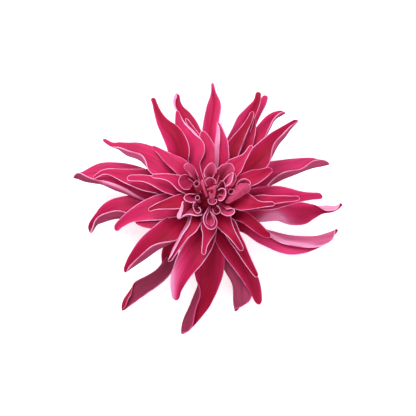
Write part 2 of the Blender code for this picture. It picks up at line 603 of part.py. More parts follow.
def make_bloom():
    petals = bpy.data.collections.new("petals")
    bpy.context.scene.collection.children.link(petals)
    for petal in TOP_PETALS + RIGHT_PETALS + BOTTOM_PETALS + LEFT_PETALS + CENTRE_FLORETS:
        petal_object(petal, petals)
    core = lathe(CORE_PROFILE, CORE_CROWN, CORE_PROFILE[0][1], CORE_SIDES, (AXIS_X, AXIS_Y))
    bloom = object_from(core, "bloom", bpy.context.scene.collection)
    fuse(bloom, petals, "MANIFOLD")
    finish_node(bloom, petal_material())
    return bloom


def bract_object(angle, collection):
    """One short green bract that leaves the cup and bends down and outward."""
    mesh = bmesh.new()
    outward = np.array([math.cos(angle), math.sin(angle), 0.0])
    side = np.array([-math.sin(angle), math.cos(angle), 0.0])
    rise = np.array([0.0, 0.0, 1.0])
    steps = 5
    rings = []
    for i in range(steps + 1):
        u = i / steps
        reach = 3.0 + BRACT_LENGTH * u
        height = 6.0 - 2.6 * u * u
        half = 0.5 * BRACT_WIDTH * math.cos(0.5 * math.pi * (0.08 + 0.85 * u)) ** 0.6
        thick = 0.5 * BRACT_THICKNESS * (1 - 0.4 * u)
        centre = np.array([AXIS_X, AXIS_Y, height]) + reach * outward
        corners = [(-half, 0.0), (0.0, thick), (half, 0.0), (0.0, -thick)]
        rings.append([mesh.verts.new((centre + a * side + b * rise) * MM) for a, b in corners])
    for near, far in zip(rings, rings[1:]):
        for k in range(4):
            after = (k + 1) % 4
            mesh.faces.new((near[k], near[after], far[after]))
            mesh.faces.new((near[k], far[after], far[k]))
    for ring in (rings[0], rings[-1]):
        mesh.faces.new((ring[0], ring[1], ring[2]))
        mesh.faces.new((ring[0], ring[2], ring[3]))
    bmesh.ops.recalc_face_normals(mesh, faces=mesh.faces)
    return object_from(mesh, "bract", collection)


def make_calyx():
    bracts = bpy.data.collections.new("bracts")
    bpy.context.scene.collection.children.link(bracts)
    for k in range(BRACT_COUNT):
        bract_object(2 * math.pi * (k + 0.5) / BRACT_COUNT, bracts)
    top = CORE_PROFILE[0][1] - CALYX_GAP
    profile = [
        (STALK_RADIUS, 0.0),
        (STALK_RADIUS, CUP_FLOOR),
        (0.75 * CUP_RADIUS, CUP_FLOOR + 1.6),
        (CUP_RADIUS, top),
    ]
    cup = lathe(profile, top, 0.0, CALYX_SIDES, (AXIS_X, AXIS_Y))
    calyx = object_from(cup, "calyx", bpy.context.scene.collection)
    fuse(calyx, bracts, "EXACT")
    finish_node(calyx, bract_material())
    return calyx


def main():
    clear_scene()
    make_bloom()
    make_calyx()


main()
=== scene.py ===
"""A cut dahlia head lying face up on a pale floor: petals, quilled centre florets, receptacle and calyx."""

import math
from dataclasses import dataclass

import bmesh
import bpy
import numpy as np
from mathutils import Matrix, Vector, noise


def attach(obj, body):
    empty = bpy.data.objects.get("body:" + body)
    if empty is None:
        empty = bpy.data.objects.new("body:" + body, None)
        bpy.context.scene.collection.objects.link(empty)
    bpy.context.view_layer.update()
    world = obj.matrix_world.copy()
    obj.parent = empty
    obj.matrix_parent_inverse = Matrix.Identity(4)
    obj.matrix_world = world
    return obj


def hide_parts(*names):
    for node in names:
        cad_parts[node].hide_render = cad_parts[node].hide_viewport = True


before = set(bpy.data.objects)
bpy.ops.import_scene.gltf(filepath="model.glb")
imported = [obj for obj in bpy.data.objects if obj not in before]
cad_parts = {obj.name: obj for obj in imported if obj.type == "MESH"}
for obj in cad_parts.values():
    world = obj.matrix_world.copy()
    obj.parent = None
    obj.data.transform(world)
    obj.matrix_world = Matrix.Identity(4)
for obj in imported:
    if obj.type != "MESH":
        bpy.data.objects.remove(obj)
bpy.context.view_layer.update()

# Lengths are in mm and become metres where the meshes are made
MM = 0.001

# The sight line that petal stations are given along, which is also the camera's
EYE_TILT = math.radians(22.0)
EYE_BACK = (0.0, -math.sin(EYE_TILT), math.cos(EYE_TILT))
EYE_DISTANCE = 578.0
AIM_HEIGHT = 15.0
LENS = 100.0
SENSOR = 36.0

# The bloom's axis, and the shift that sets it down where the CAD stands
AXIS_X = 2.5
AXIS_Y = -2.6
SETTLE = (-0.2, -8.9, 0.0)

# Petals
PETAL_THICKNESS = 0.8
PETAL_ROWS = 30
PETAL_COLUMNS = 20
ROOT_WIDTH = 0.45  # share of the greatest width
TIP_CROWDING = 1.3  # rows lie closer together towards the tip
LINE_STEPS = 300  # fine steps along a centre line
SECTION_STEPS = 60  # fine steps over half a cross-section
STEADY = 0.25  # how far a blade keeps level where its line dives
MARGIN_SPARE = 0.12  # added to each half width
TIP_SPARE = 0.4  # added to the length
TIP_ROUND = 1.4  # length of the rounded tip, in half widths of its last station
TIP_ROUND_MOST = 0.2  # and at most this share of the petal
NEAR_AXIS = 6.0  # a petal that starts this near takes its direction from its tip
FULL_CUP = 0.225  # half width, as a share of the greatest width, from which the cup is full
FOLD_REACH = 0.12  # share of a half that the fold's bend takes up
BEND_SHARE = 0.28  # share of the rolled part that its bend takes up
ROLL_UP = 0.65  # share of the onset over which a margin turns over
FIRST_CURL = 0.3  # share of its width that a roll starts with
BEND_COLUMNS = 1.6  # extra columns at the bend, and how softly they set in
BEND_SOFT = 0.06
EDGE_COLUMNS = 0.8  # extra columns at the outer edge, and the share where they lie
EDGE_SHARE = 0.15
# Width in mm of the painted shade down the middle of a fold
CREASE_SHADE_WIDTH = 0.9
# Painted sheen: faces are drawn lighter towards their margins
MARGIN_SHEEN = (0.3, -0.1)  # lift at the margin, and over the whole face
# Painted highlight band along the underside's edge: how far in it reaches, and where along the petal it fades
HEM_REACH = 1.6
HEM_END = (0.70, 0.12)  # where along the petal the hem fades, and over which share

# Petal roots on the core, by ring from the lowest: distance from the axis, height
RING_ROOTS = [(8.0, 11.5), (7.5, 15.0), (6.5, 19.0), (4.0, 22.0)]
RING_NAMES = ["petals_lowest", "petals_second", "petals_third", "petals_inner"]

# Centre florets
FLORET_THICKNESS = 0.7
FLORET_ROWS = 9
FLORET_COLUMNS = 30
RIM_CROWDING = 1.2  # rows lie closer together towards the rim
ROOT_PINCH = 0.94  # how far a floret narrows on its way down
RIM_SPAN = 12.0  # width on the map that every rim is laid out to
LOOP_STEPS = 40  # fine steps for each station of a closed rim

MAP_STEP = 40  # from one blade to the next on the map, so that their streaks differ

# Receptacle: radius and height pairs from its underside to its crown
CORE_PROFILE = [(0.0, 8.2), (9.0, 8.2), (12.0, 11.0), (13.0, 16.0), (12.0, 21.0), (10.0, 26.0), (6.0, 29.2),
                (0.0, 30.2)]
CORE_STEPS = 40
CORE_GRAIN = 900.0
CORE_ROUGHNESS = 0.5

# Calyx
STALK_RADIUS = 4.2
CUP_RADIUS = 8.6
STALK_PROFILE = [(0.0, 0.0), (STALK_RADIUS - 0.3, 0.0), (STALK_RADIUS, 0.4), (STALK_RADIUS - 0.2, 2.6),
                 (STALK_RADIUS + 0.6, 3.6), (0.75 * CUP_RADIUS, 4.9), (CUP_RADIUS, 7.4),
                 (CUP_RADIUS - 0.4, 8.0), (0.0, 8.0)]
STALK_STEPS = 48
RIB_COUNT = 12
RIB_DEPTH = 0.035
BRACT_THICKNESS = 0.9
BRACT_ROWS = 12
BRACT_COLUMNS = 8
BRACT_COUNT = 8
# For each row of bracts: distance from the axis, length, width, height, how far the tip hangs
LOWER_BRACT = (3.0, 11.0, 5.6, 6.2, 2.8)
UPPER_BRACT = (4.0, 7.5, 6.4, 7.6, -1.2)

# Linear colours
# The crimson, mauve and deep rose that faces, undersides and florets turn to near the axis are painted shade
CRIMSON_SHADE = (0.50, 0.011, 0.060)
# The pale margin, made bright to stand for its highlights: partly its own colour, partly painted highlight
PALE_RIM = (1.0, 0.470, 0.760)
DULL_RIM = (0.62, 0.064, 0.210)
MAUVE_SHADE = (0.34, 0.032, 0.100)
ROSE_SHADE = (0.34, 0.012, 0.055)
# The receptacle is darkened nearly to black as painted shade for the gaps between the florets
HEART_DARK = (0.10, 0.001, 0.008)
HEART_LIGHT = (0.22, 0.004, 0.024)
BRACT_GREEN = (0.16, 0.27, 0.07)
BRACT_LIGHT = (0.30, 0.42, 0.14)
FLOOR_WHITE = (0.93, 0.93, 0.935)
SKY_WHITE = (0.97, 0.98, 1.0)
TONE_END = 2.0
# Face stops above 1.0 are reached only where a painted highlight patch lies
FACE_TONES = [(0.0, (0.33, 0.005, 0.032)), (0.2, (0.42, 0.010, 0.062)), (0.5, (0.57, 0.021, 0.106)),
              (1.0, (0.72, 0.058, 0.198)), (1.4, (0.71, 0.125, 0.280)), (TONE_END, (1.0, 0.310, 0.570))]
# The paler underside stops are reached partly as painted light where an underside is lit
UNDERSIDE_TONES = [(0.0, (0.27, 0.028, 0.072)), (0.5, (0.53, 0.088, 0.200)), (1.0, (0.88, 0.310, 0.520))]
FLORET_TONES = [(0.0, (0.36, 0.016, 0.070)), (0.5, (0.62, 0.065, 0.170)), (1.0, (0.78, 0.110, 0.240)),
                (TONE_END, (0.90, 0.360, 0.540))]

NOISE_RANGE = (0.3, 0.7)  # the part of a noise's values that the finishes use

# Studio, in metres and watts. For each lamp: name, spot, power, colour
LAMPS = [("window", (-0.28, 0.42, 0.82), 9.4, (1.0, 0.985, 1.0)),
         ("front_fill", (0.3, -0.6, 0.7), 3.0, (1.0, 0.99, 1.0))]
LAMP_SIZE = 0.8
LAMP_AIM = (0.0, 0.0, 0.02)
SKY_STRENGTH = 0.40
FLOOR_SIZE = 3.0
FLOOR_GLOW = 0.64


@dataclass
class Petal:
    """One petal, with its width at each station. Angles in degrees, lengths in mm, shares from root to tip.

    A station is (across, up, lift): its place as seen along the sight line, and its height. Cup bends the whole
    section, fold bends it at its middle, and turn rolls the blade at the root, the middle and the tip. Left and
    right roll each margin, curl is the share of a half that is rolled and lean the left half's share of the
    width, each for the middle and the tip. Onset says where the roll begins and where it is full, and ebb cuts
    it back: its share, its place, its reach. Tone runs from dark crimson to pale pink, set per petal partly as
    its own colour and partly as painted light and shade as the petal lies. Painted shade darkens the middle of a
    fold, pale lightens the underside (partly its own colour, partly painted light where it is lit), a painted
    highlight band lightens its edge, and rim lightens the margin (partly its own colour, partly painted
    highlight). A painted patch is lighter, a painted highlight, or darker, painted shade, by the sign of its
    strength: its place, its reach, its side and its strength.
    """

    name: str
    ring: int
    line: list
    widths: tuple
    cup: float = 20.0
    fold: float = 0.0
    left: tuple = (0, 0)
    right: tuple = (0, 0)
    onset: tuple = (0.15, 0.5)
    curl: tuple = (0.5, 0.5)
    lean: tuple = (0.5, 0.5)
    turn: tuple = (0, 0, 0)
    ebb: tuple = (0.0, 0.5, 0.1)
    tone: float = 0.5
    # Painted shade down the middle of a fold
    crease: float = 0.0
    pale: float = 0.3
    # Painted highlight band along the underside's edge
    hem: float = 0.0
    # Patch of painted highlight where its strength is above 0, of painted shade where below
    blush: tuple = (0.5, 0.1, 1, 0.0)
    rim: float = 0.6


@dataclass
class Floret:
    """One quilled floret: its rim as (across, up) from side to side, and lift, its heights at start, middle and end.

    Bulge and drop shape the way down to the root: how long the wall stays wide, and how early it falls.
    """

    name: str
    rim: list
    lift: tuple
    root: tuple
    closed: bool = False
    bulge: float = 1.6
    drop: float = 1.3
    # Tone and rim tone are set per floret, partly its own colour and partly painted light and shade as it lies
    tone: float = 0.5
    rim_tone: float = 0.8


P, F = Petal, Floret

# Petals of the far side, as seen at the top
TOP_PETALS = [
    P("T1", 0, [(1.8, 21.5, 18), (1.1, 38.5, 13), (1.9, 44, 10.5), (2.8, 48.5, 8), (3.2, 52, 6), (2.9, 55.5, 4),
      (2.6, 59, 2), (2.2, 62.5, 0.5)],
      (10.5, 9.6, 9.4, 9.2, 7.6, 4.4, 2.2, 1.6), cup=8, fold=30, tone=0.6, crease=0.4, blush=(1, 0.06, 0, 2),
      rim=0.5),
    P("T2", 1, [(-4.5, 29, 23), (-8.6, 39.5, 24), (-12, 45.8, 23.5), (-14.6, 49.5, 22), (-16.3, 53, 21),
      (-15.9, 57.2, 20)],
      (9, 9, 7.4, 5.4, 5.6, 4.6), cup=25, left=(120, 165), onset=(0.3, 0.8), curl=(0.35, 0.85), tone=0.15, pale=1),
    P("T2b", 2, [(-3, 25, 24), (-3.5, 32, 25), (-7, 38, 25.5), (-11, 44.5, 25.5)],
      (5, 4.5, 3, 1.2), cup=12, tone=0.2, rim=0.8),
    P("T3", 2, [(-7.8, 21.5, 26.5), (-7.4, 30, 28.5), (-10.4, 35.5, 30), (-13.4, 41, 30.5), (-14.6, 45, 30.8),
      (-15.5, 48.5, 31)],
      (7.5, 12, 10.4, 7, 4, 1.4), cup=12, right=(150, 150), onset=(0.54, 0.68), curl=(0.28, 0.4), lean=(0.42, 0.5),
      tone=0.55, pale=1, rim=0.8),
    P("T4", 2, [(-14, 22, 28), (-14.8, 29, 30.5), (-17.8, 36, 32), (-22.4, 42, 31.5), (-25.3, 48, 29),
      (-26.7, 52.3, 26.5), (-27.7, 55, 24)],
      (9, 12, 11, 6.8, 3.6, 2.6, 2.4), fold=12, tone=0, crease=0.1, blush=(0.6, 0.6, -1, 0.45), rim=0.4),
    P("T5a", 2, [(-19, 18.5, 29), (-27, 23.3, 29.5), (-34, 26.6, 29.5), (-39.5, 28.1, 28.5), (-44, 30.3, 27.5),
      (-48, 31.2, 27), (-52.2, 34.3, 26)],
      (13, 13.5, 12.4, 10.8, 6, 3.6, 1.8), left=(150, 100), onset=(0.48, 0.64), curl=(0.6, 0.6)),
    P("T5b", 3, [(-13.5, 20.5, 34), (-19, 24.3, 33.5), (-24, 28.2, 32), (-28, 30.8, 30.5)],
      (8, 6.2, 3.2, 1.6), cup=12, rim=0.35),
    P("T6", 3, [(5.8, 22.5, 32), (5.4, 31.5, 36), (5.2, 37, 37.5), (4.8, 42.5, 38)],
      (9.5, 9.6, 6.4, 2), cup=25, left=(150, 150), curl=(0.55, 0.8), tone=0.55, pale=0.85),
    P("T7", 2, [(-1.75, 21.5, 25), (-1, 29, 26), (-1.6, 34, 26.5), (-3, 38.2, 27)],
      (11, 9.5, 6, 2), cup=15, rim=0.85),
]

# Petals of the right side
RIGHT_PETALS = [
    P("R8", 1, [(20.5, 19.5, 24), (27.5, 26.5, 27), (31, 30.2, 27.5), (34.2, 33.7, 27), (37, 36.2, 26),
      (40.6, 39.9, 24.5), (44.9, 43.7, 22)],
      (13, 12.4, 11.4, 10, 8.6, 5.6, 3), right=(155, 150), onset=(0.46, 0.68), curl=(0.6, 0.7), tone=0.1, pale=0.2),
    P("R9", 1, [(21, 26.5, 20), (25, 34.6, 21), (28.9, 40.4, 20), (31.1, 43.7, 19), (33.4, 45.5, 18),
      (36, 46.4, 16), (38.6, 47.4, 14)],
      (9, 8.4, 7.6, 6.4, 5.8, 5.6, 4.8), right=(120, 170), onset=(0.5, 0.76), curl=(0.4, 0.9), tone=0.4, pale=0.2),
    P("R10", 0, [(18, 30, 14), (21.2, 41, 15), (24.4, 47.5, 14), (27.1, 52, 12), (29, 56.2, 10)],
      (7, 5.6, 5, 4.4, 2.8), cup=25, tone=0.75),
    P("R11", 0, [(11.5, 28, 18), (16.8, 38.5, 21), (18.5, 43, 21.5), (20.5, 46.5, 21.5), (22.8, 50, 21),
      (24.4, 53, 20), (25.2, 57.9, 17)],
      (9.5, 10.4, 9.8, 7.6, 5.8, 4, 2.8), cup=10, fold=22, tone=0, crease=0.5, blush=(0.6, 0.3, -1, 0.8), rim=0.5),
    P("R12", 1, [(11, 26.5, 25), (14.5, 33.5, 25.5), (18.2, 39.5, 26), (21, 44.5, 26), (22.2, 48, 26)],
      (8.5, 6.5, 4, 2.8, 1.8), tone=0, rim=0.4),
    P("R13", 1, [(19.5, 30, 22), (21, 35, 23), (22.3, 40, 23), (23, 46, 22)],
      (5, 4.5, 3.5, 1.5), tone=0.25, rim=0.4),
    P("R14", 3, [(11, 18, 33), (13.2, 20.4, 34.5), (15.8, 23.1, 35.5), (18.2, 25.6, 36), (20, 28.2, 36),
      (21.8, 31, 36)],
      (9, 9, 6.2, 3.2, 2.2, 2), cup=25, rim=0.7),
    P("R6", 0, [(24, 14, 15), (31, 16, 15), (38.5, 18, 15), (46, 20, 14), (52, 21.4, 13), (56.5, 21.6, 11.5),
      (60.5, 22, 10)],
      (15.5, 15.5, 14, 12.2, 10.6, 8.2, 3.2), cup=12, right=(155, 160), onset=(0.3, 0.6), curl=(0.58, 0.9),
      lean=(0.48, 0.36), ebb=(0.5, 0.73, 0.08), tone=0.75, pale=0.2),
    P("R7", 3, [(17, 12.5, 33), (22.5, 15, 34), (26.5, 16.6, 34), (29.5, 18.2, 33.5), (31.7, 19.3, 33)],
      (8, 8, 6, 4.2, 2.8), tone=0.15, rim=0.35),
    P("R3", 1, [(23.5, 4, 23), (31, 4.7, 25), (36, 5.3, 25.3), (41, 5.6, 25), (46, 5.6, 23.5), (51, 5.8, 21.5),
      (57, 6, 18)],
      (12, 13, 11.6, 9, 6, 4.2, 3.6), rim=0.35),
    P("R4", 2, [(26, 3.2, 28), (32, 3.8, 29), (38, 4.4, 29), (43, 4.6, 28.7), (45.5, 5, 28.3)],
      (6.6, 4.8, 3.6, 2.8, 2.4), cup=25, tone=0.3),
    P("R5", 3, [(14, 3.5, 32), (17.5, 3, 33), (21, 2.4, 34), (25, 1.7, 34), (29, 1.8, 33.5), (33, 2.1, 33)],
      (9, 10, 7.8, 4, 2.6, 2.4), tone=0.12, rim=0.7),
    P("R2", 0, [(27, -2, 18), (34.5, -1.5, 16), (41, -2.6, 13.5), (46, -2.7, 11), (49, -1.9, 9.5), (54, -1.8, 7),
      (57, -1.9, 5.5), (60.2, -1.8, 4), (63.9, -0.9, 2.2), (67.2, 1.5, 0.5)],
      (10.5, 10.5, 12.9, 12.8, 11.2, 7.2, 7.8, 8.6, 5.6, 2), cup=0, left=(160, 165), onset=(0.7, 0.81),
      curl=(0.66, 0.68), lean=(0.9, 0.9), tone=0.32, pale=1.2, blush=(0.355, 0.14, 1, 2.6), rim=0.5),
    P("R1", 0, [(21, -9, 16), (27, -13, 14), (33.5, -14.8, 12), (41, -16.4, 11), (48.5, -16.9, 11), (55, -16.1, 12),
      (60.8, -13.5, 13), (64.8, -11.2, 14)],
      (10, 11.6, 15.2, 17, 16, 13, 8.4, 3), cup=10, left=(165, 170), onset=(0.05, 0.55), curl=(0.8, 0.9),
      lean=(0.54, 0.78), tone=0.4, pale=0.52, hem=1.6, blush=(0.5, 0.3, 1, 0.45)),
    P("R1c", 1, [(17.5, -4.5, 27), (22.5, -8, 27), (27, -11.8, 26), (29.5, -13.3, 25), (31, -14, 24)],
      (6, 5.5, 4.5, 3.4, 2.4), tone=0, rim=0.15),
]

# Petals of the near side, as seen at the bottom
BOTTOM_PETALS = [
    P("B7", 3, [(6.5, -5, 31), (9, -9.5, 32.5), (12, -13.5, 33), (14.8, -17.5, 32), (17, -21, 30.5)],
      (9.5, 7, 4.4, 3.2, 2.4), cup=25, tone=0.1, rim=0.9),
    P("B8", 2, [(10, -8.5, 26), (13, -14.5, 26), (15.8, -19, 25.8), (19, -25, 24.5), (22.5, -31, 22),
      (24.6, -34.2, 20)],
      (8, 7, 6, 4.6, 3.2, 2), cup=30, tone=0.1, rim=1),
    P("B9", 1, [(7, -12, 20), (10, -18, 20), (14, -24, 18), (18, -30, 16), (21, -35, 13.5), (23.3, -40, 11),
      (24.8, -45, 9), (25.6, -48, 8)],
      (10, 10.5, 10, 9, 8, 6.4, 4.4, 2.4), tone=0.15, rim=0.2),
    P("B10", 0, [(4.5, -20, 14), (8, -26, 12), (10.5, -31, 10.5), (13.9, -37, 7.5), (15.2, -43.5, 5.5),
      (14.2, -48, 4.6), (14, -51.4, 4)],
      (13, 15, 15.7, 15.4, 17.6, 10.5, 2), cup=8, right=(165, 165), onset=(0.05, 0.35), curl=(0.9, 0.9),
      lean=(0.32, 0.26), tone=0.3, pale=0.12, rim=-0.1),
    P("B6", 3, [(0.5, -7, 30.5), (0.5, -11, 31.5), (0, -13.5, 31.5), (-1, -16.5, 31), (-1.8, -19.5, 30),
      (-2.2, -23, 29)],
      (8, 7.6, 5.4, 3.6, 2.4, 2), tone=0.35, rim=1.1),
    P("B5", 0, [(0.5, -16, 19), (1, -24, 18), (0.5, -31, 15.5), (0, -38.5, 13), (-3, -46, 9), (-5.6, -51, 6.5),
      (-8.5, -56, 4), (-11, -60, 2), (-12.8, -62.8, 0.5)],
      (12, 14.2, 14.6, 11.8, 13.8, 12.4, 11.6, 8.8, 2), cup=10, right=(160, 160), onset=(0.48, 0.68),
      curl=(0.54, 0.77), lean=(0.36, 0.21), ebb=(-0.3, 0.88, 0.08), tone=0.15, pale=0, blush=(0.85, 0.25, 0, -0.5),
      rim=-0.3),
    P("B4", 1, [(-1.5, -13.5, 24), (-4.5, -19, 25), (-7.8, -24, 24.5), (-10.8, -28.5, 23), (-13.6, -33.5, 21),
      (-15.4, -38.5, 18), (-16, -42.5, 16), (-16, -46, 14)],
      (11, 13, 13, 11.4, 9.2, 6.8, 4.6, 3.2), tone=0.05, blush=(0.9, 0.32, 1, 2.1)),
    P("B3", 2, [(-7, -5, 31), (-9.4, -9.5, 32), (-12.6, -13.5, 32), (-15, -17.5, 31), (-17.4, -21.5, 30),
      (-19.6, -26.4, 28)],
      (9, 8.6, 6, 5.2, 4.2, 2.2), right=(150, 150), curl=(0.6, 0.8), tone=0.15, pale=0.8, rim=0.95),
    P("B2", 0, [(-16.5, -22, 12), (-19, -27, 11), (-22.8, -32.5, 9.5), (-27.8, -36.4, 8), (-33.3, -39.6, 7),
      (-37.4, -43, 6.2), (-40.4, -46.6, 5.6), (-42.6, -51.2, 5)],
      (8, 7.6, 7.8, 8.4, 9, 9.4, 8.4, 3), cup=8, left=(-150, -165), onset=(0.74, 0.86), curl=(0.7, 0.75),
      lean=(0.6, 0.74), turn=(0, 165, 180), tone=0, pale=0, blush=(1, 0.15, 0, -1), rim=0.1),
    P("B2b", 1, [(-14, -12, 18), (-18, -18, 14), (-20.5, -23, 10), (-20.8, -27, 7.5), (-22, -31.5, 5.5)],
      (8, 7, 5.6, 4.6, 3.4), cup=15, tone=0, rim=0.1),
    P("B1", 1, [(-17, -10, 25), (-22, -14.5, 26), (-26, -17.7, 25.5), (-30, -21.2, 24), (-34, -24.7, 22),
      (-37.5, -27.8, 19.5), (-40, -30.3, 18), (-41.5, -32, 17)],
      (13, 14, 14, 13.4, 11, 8, 4.8, 2.8), left=(155, 155), onset=(0.38, 0.66), curl=(0.62, 0.62), tone=0.12,
      pale=0.1, rim=0.5),
]

# Petals of the left side
LEFT_PETALS = [
    P("L1", 0, [(-36.5, 13, 15), (-43, 15.1, 15), (-51.5, 17, 14), (-57.5, 16.7, 13), (-61.5, 16.2, 12),
      (-64.5, 16.1, 11), (-67.2, 15.5, 10)],
      (18.5, 18.2, 15, 12.4, 10.6, 7.6, 3), cup=12, left=(155, 165), onset=(0.15, 0.78), curl=(0.3, 0.8),
      lean=(0.57, 0.82), ebb=(-0.45, 0.58, 0.12), tone=0.65, pale=0.05, hem=1.3),
    P("L2", 1, [(-23, 12, 22), (-30, 13.5, 23), (-37, 15, 22.5), (-41.5, 16.1, 21.5), (-45, 17.1, 20.5),
      (-49, 18.1, 19), (-52.3, 18, 18), (-55.3, 16.4, 16.5), (-57.2, 15, 15)],
      (12.5, 12.3, 9.6, 7.4, 5.4, 3.6, 2.6, 2, 1.6), tone=0.4, rim=0.8),
    P("L3", 2, [(-15, 9.5, 29), (-20, 11, 30), (-25.5, 12.9, 30), (-29, 14, 29.5), (-32.5, 14.8, 29),
      (-36, 14.9, 28), (-40.2, 15, 26.5)],
      (9, 8.5, 6, 4.4, 3.7, 3.5, 3.2), cup=25, rim=0.85),
    P("L4", 3, [(-10.5, 10.5, 33.5), (-13, 11.8, 34.5), (-15.5, 13.4, 35.5), (-18.5, 14.8, 36), (-21.5, 15.6, 36),
      (-25.5, 15.9, 35.5), (-27.8, 16, 35)],
      (8, 8.4, 6.7, 4.5, 3.3, 2.4, 2), cup=25, rim=0.85),
    P("L6", 0, [(-33, -0.5, 14), (-39.5, 0, 14), (-45, -0.1, 13.5), (-50, -1.8, 11), (-53.5, -4.2, 8.5),
      (-56.7, -7, 5.5), (-58.4, -10, 3), (-59.1, -12, 0.5)],
      (15.5, 16.6, 16.2, 14, 10.2, 6.4, 5.4, 4.4), cup=10, left=(155, 150), onset=(0.35, 0.66), lean=(0.64, 0.6),
      ebb=(-0.5, 0.82, 0.08), tone=0.4, pale=0.05, blush=(1, 0.12, 0, -0.9)),
    P("L7", 1, [(-18, 1, 24), (-23.5, 0, 24.5), (-29.5, -1.2, 24), (-34.5, -2.7, 22.5), (-39, -4.6, 20.5),
      (-42, -6.7, 18.5), (-44.7, -8.9, 16), (-46.2, -11, 14)],
      (13, 13.8, 11.6, 9, 6.2, 5, 4.2, 3.4), rim=0.7),
    P("L9", 0, [(-20, -5.8, 24), (-26, -7.5, 24), (-31, -7.9, 23), (-36, -7, 21.5)],
      (8, 6.5, 4.5, 1.6), cup=15, tone=0.45, rim=0.4),
    P("L8", 3, [(-11.5, 3.2, 32), (-16.5, 2.5, 33), (-21.5, 1.6, 33), (-25.2, 0.8, 32), (-27.3, 0, 31.3),
      (-29.5, -1, 30.5)],
      (8, 7, 4.8, 3.3, 2.4, 2), tone=0, rim=0.7),
]

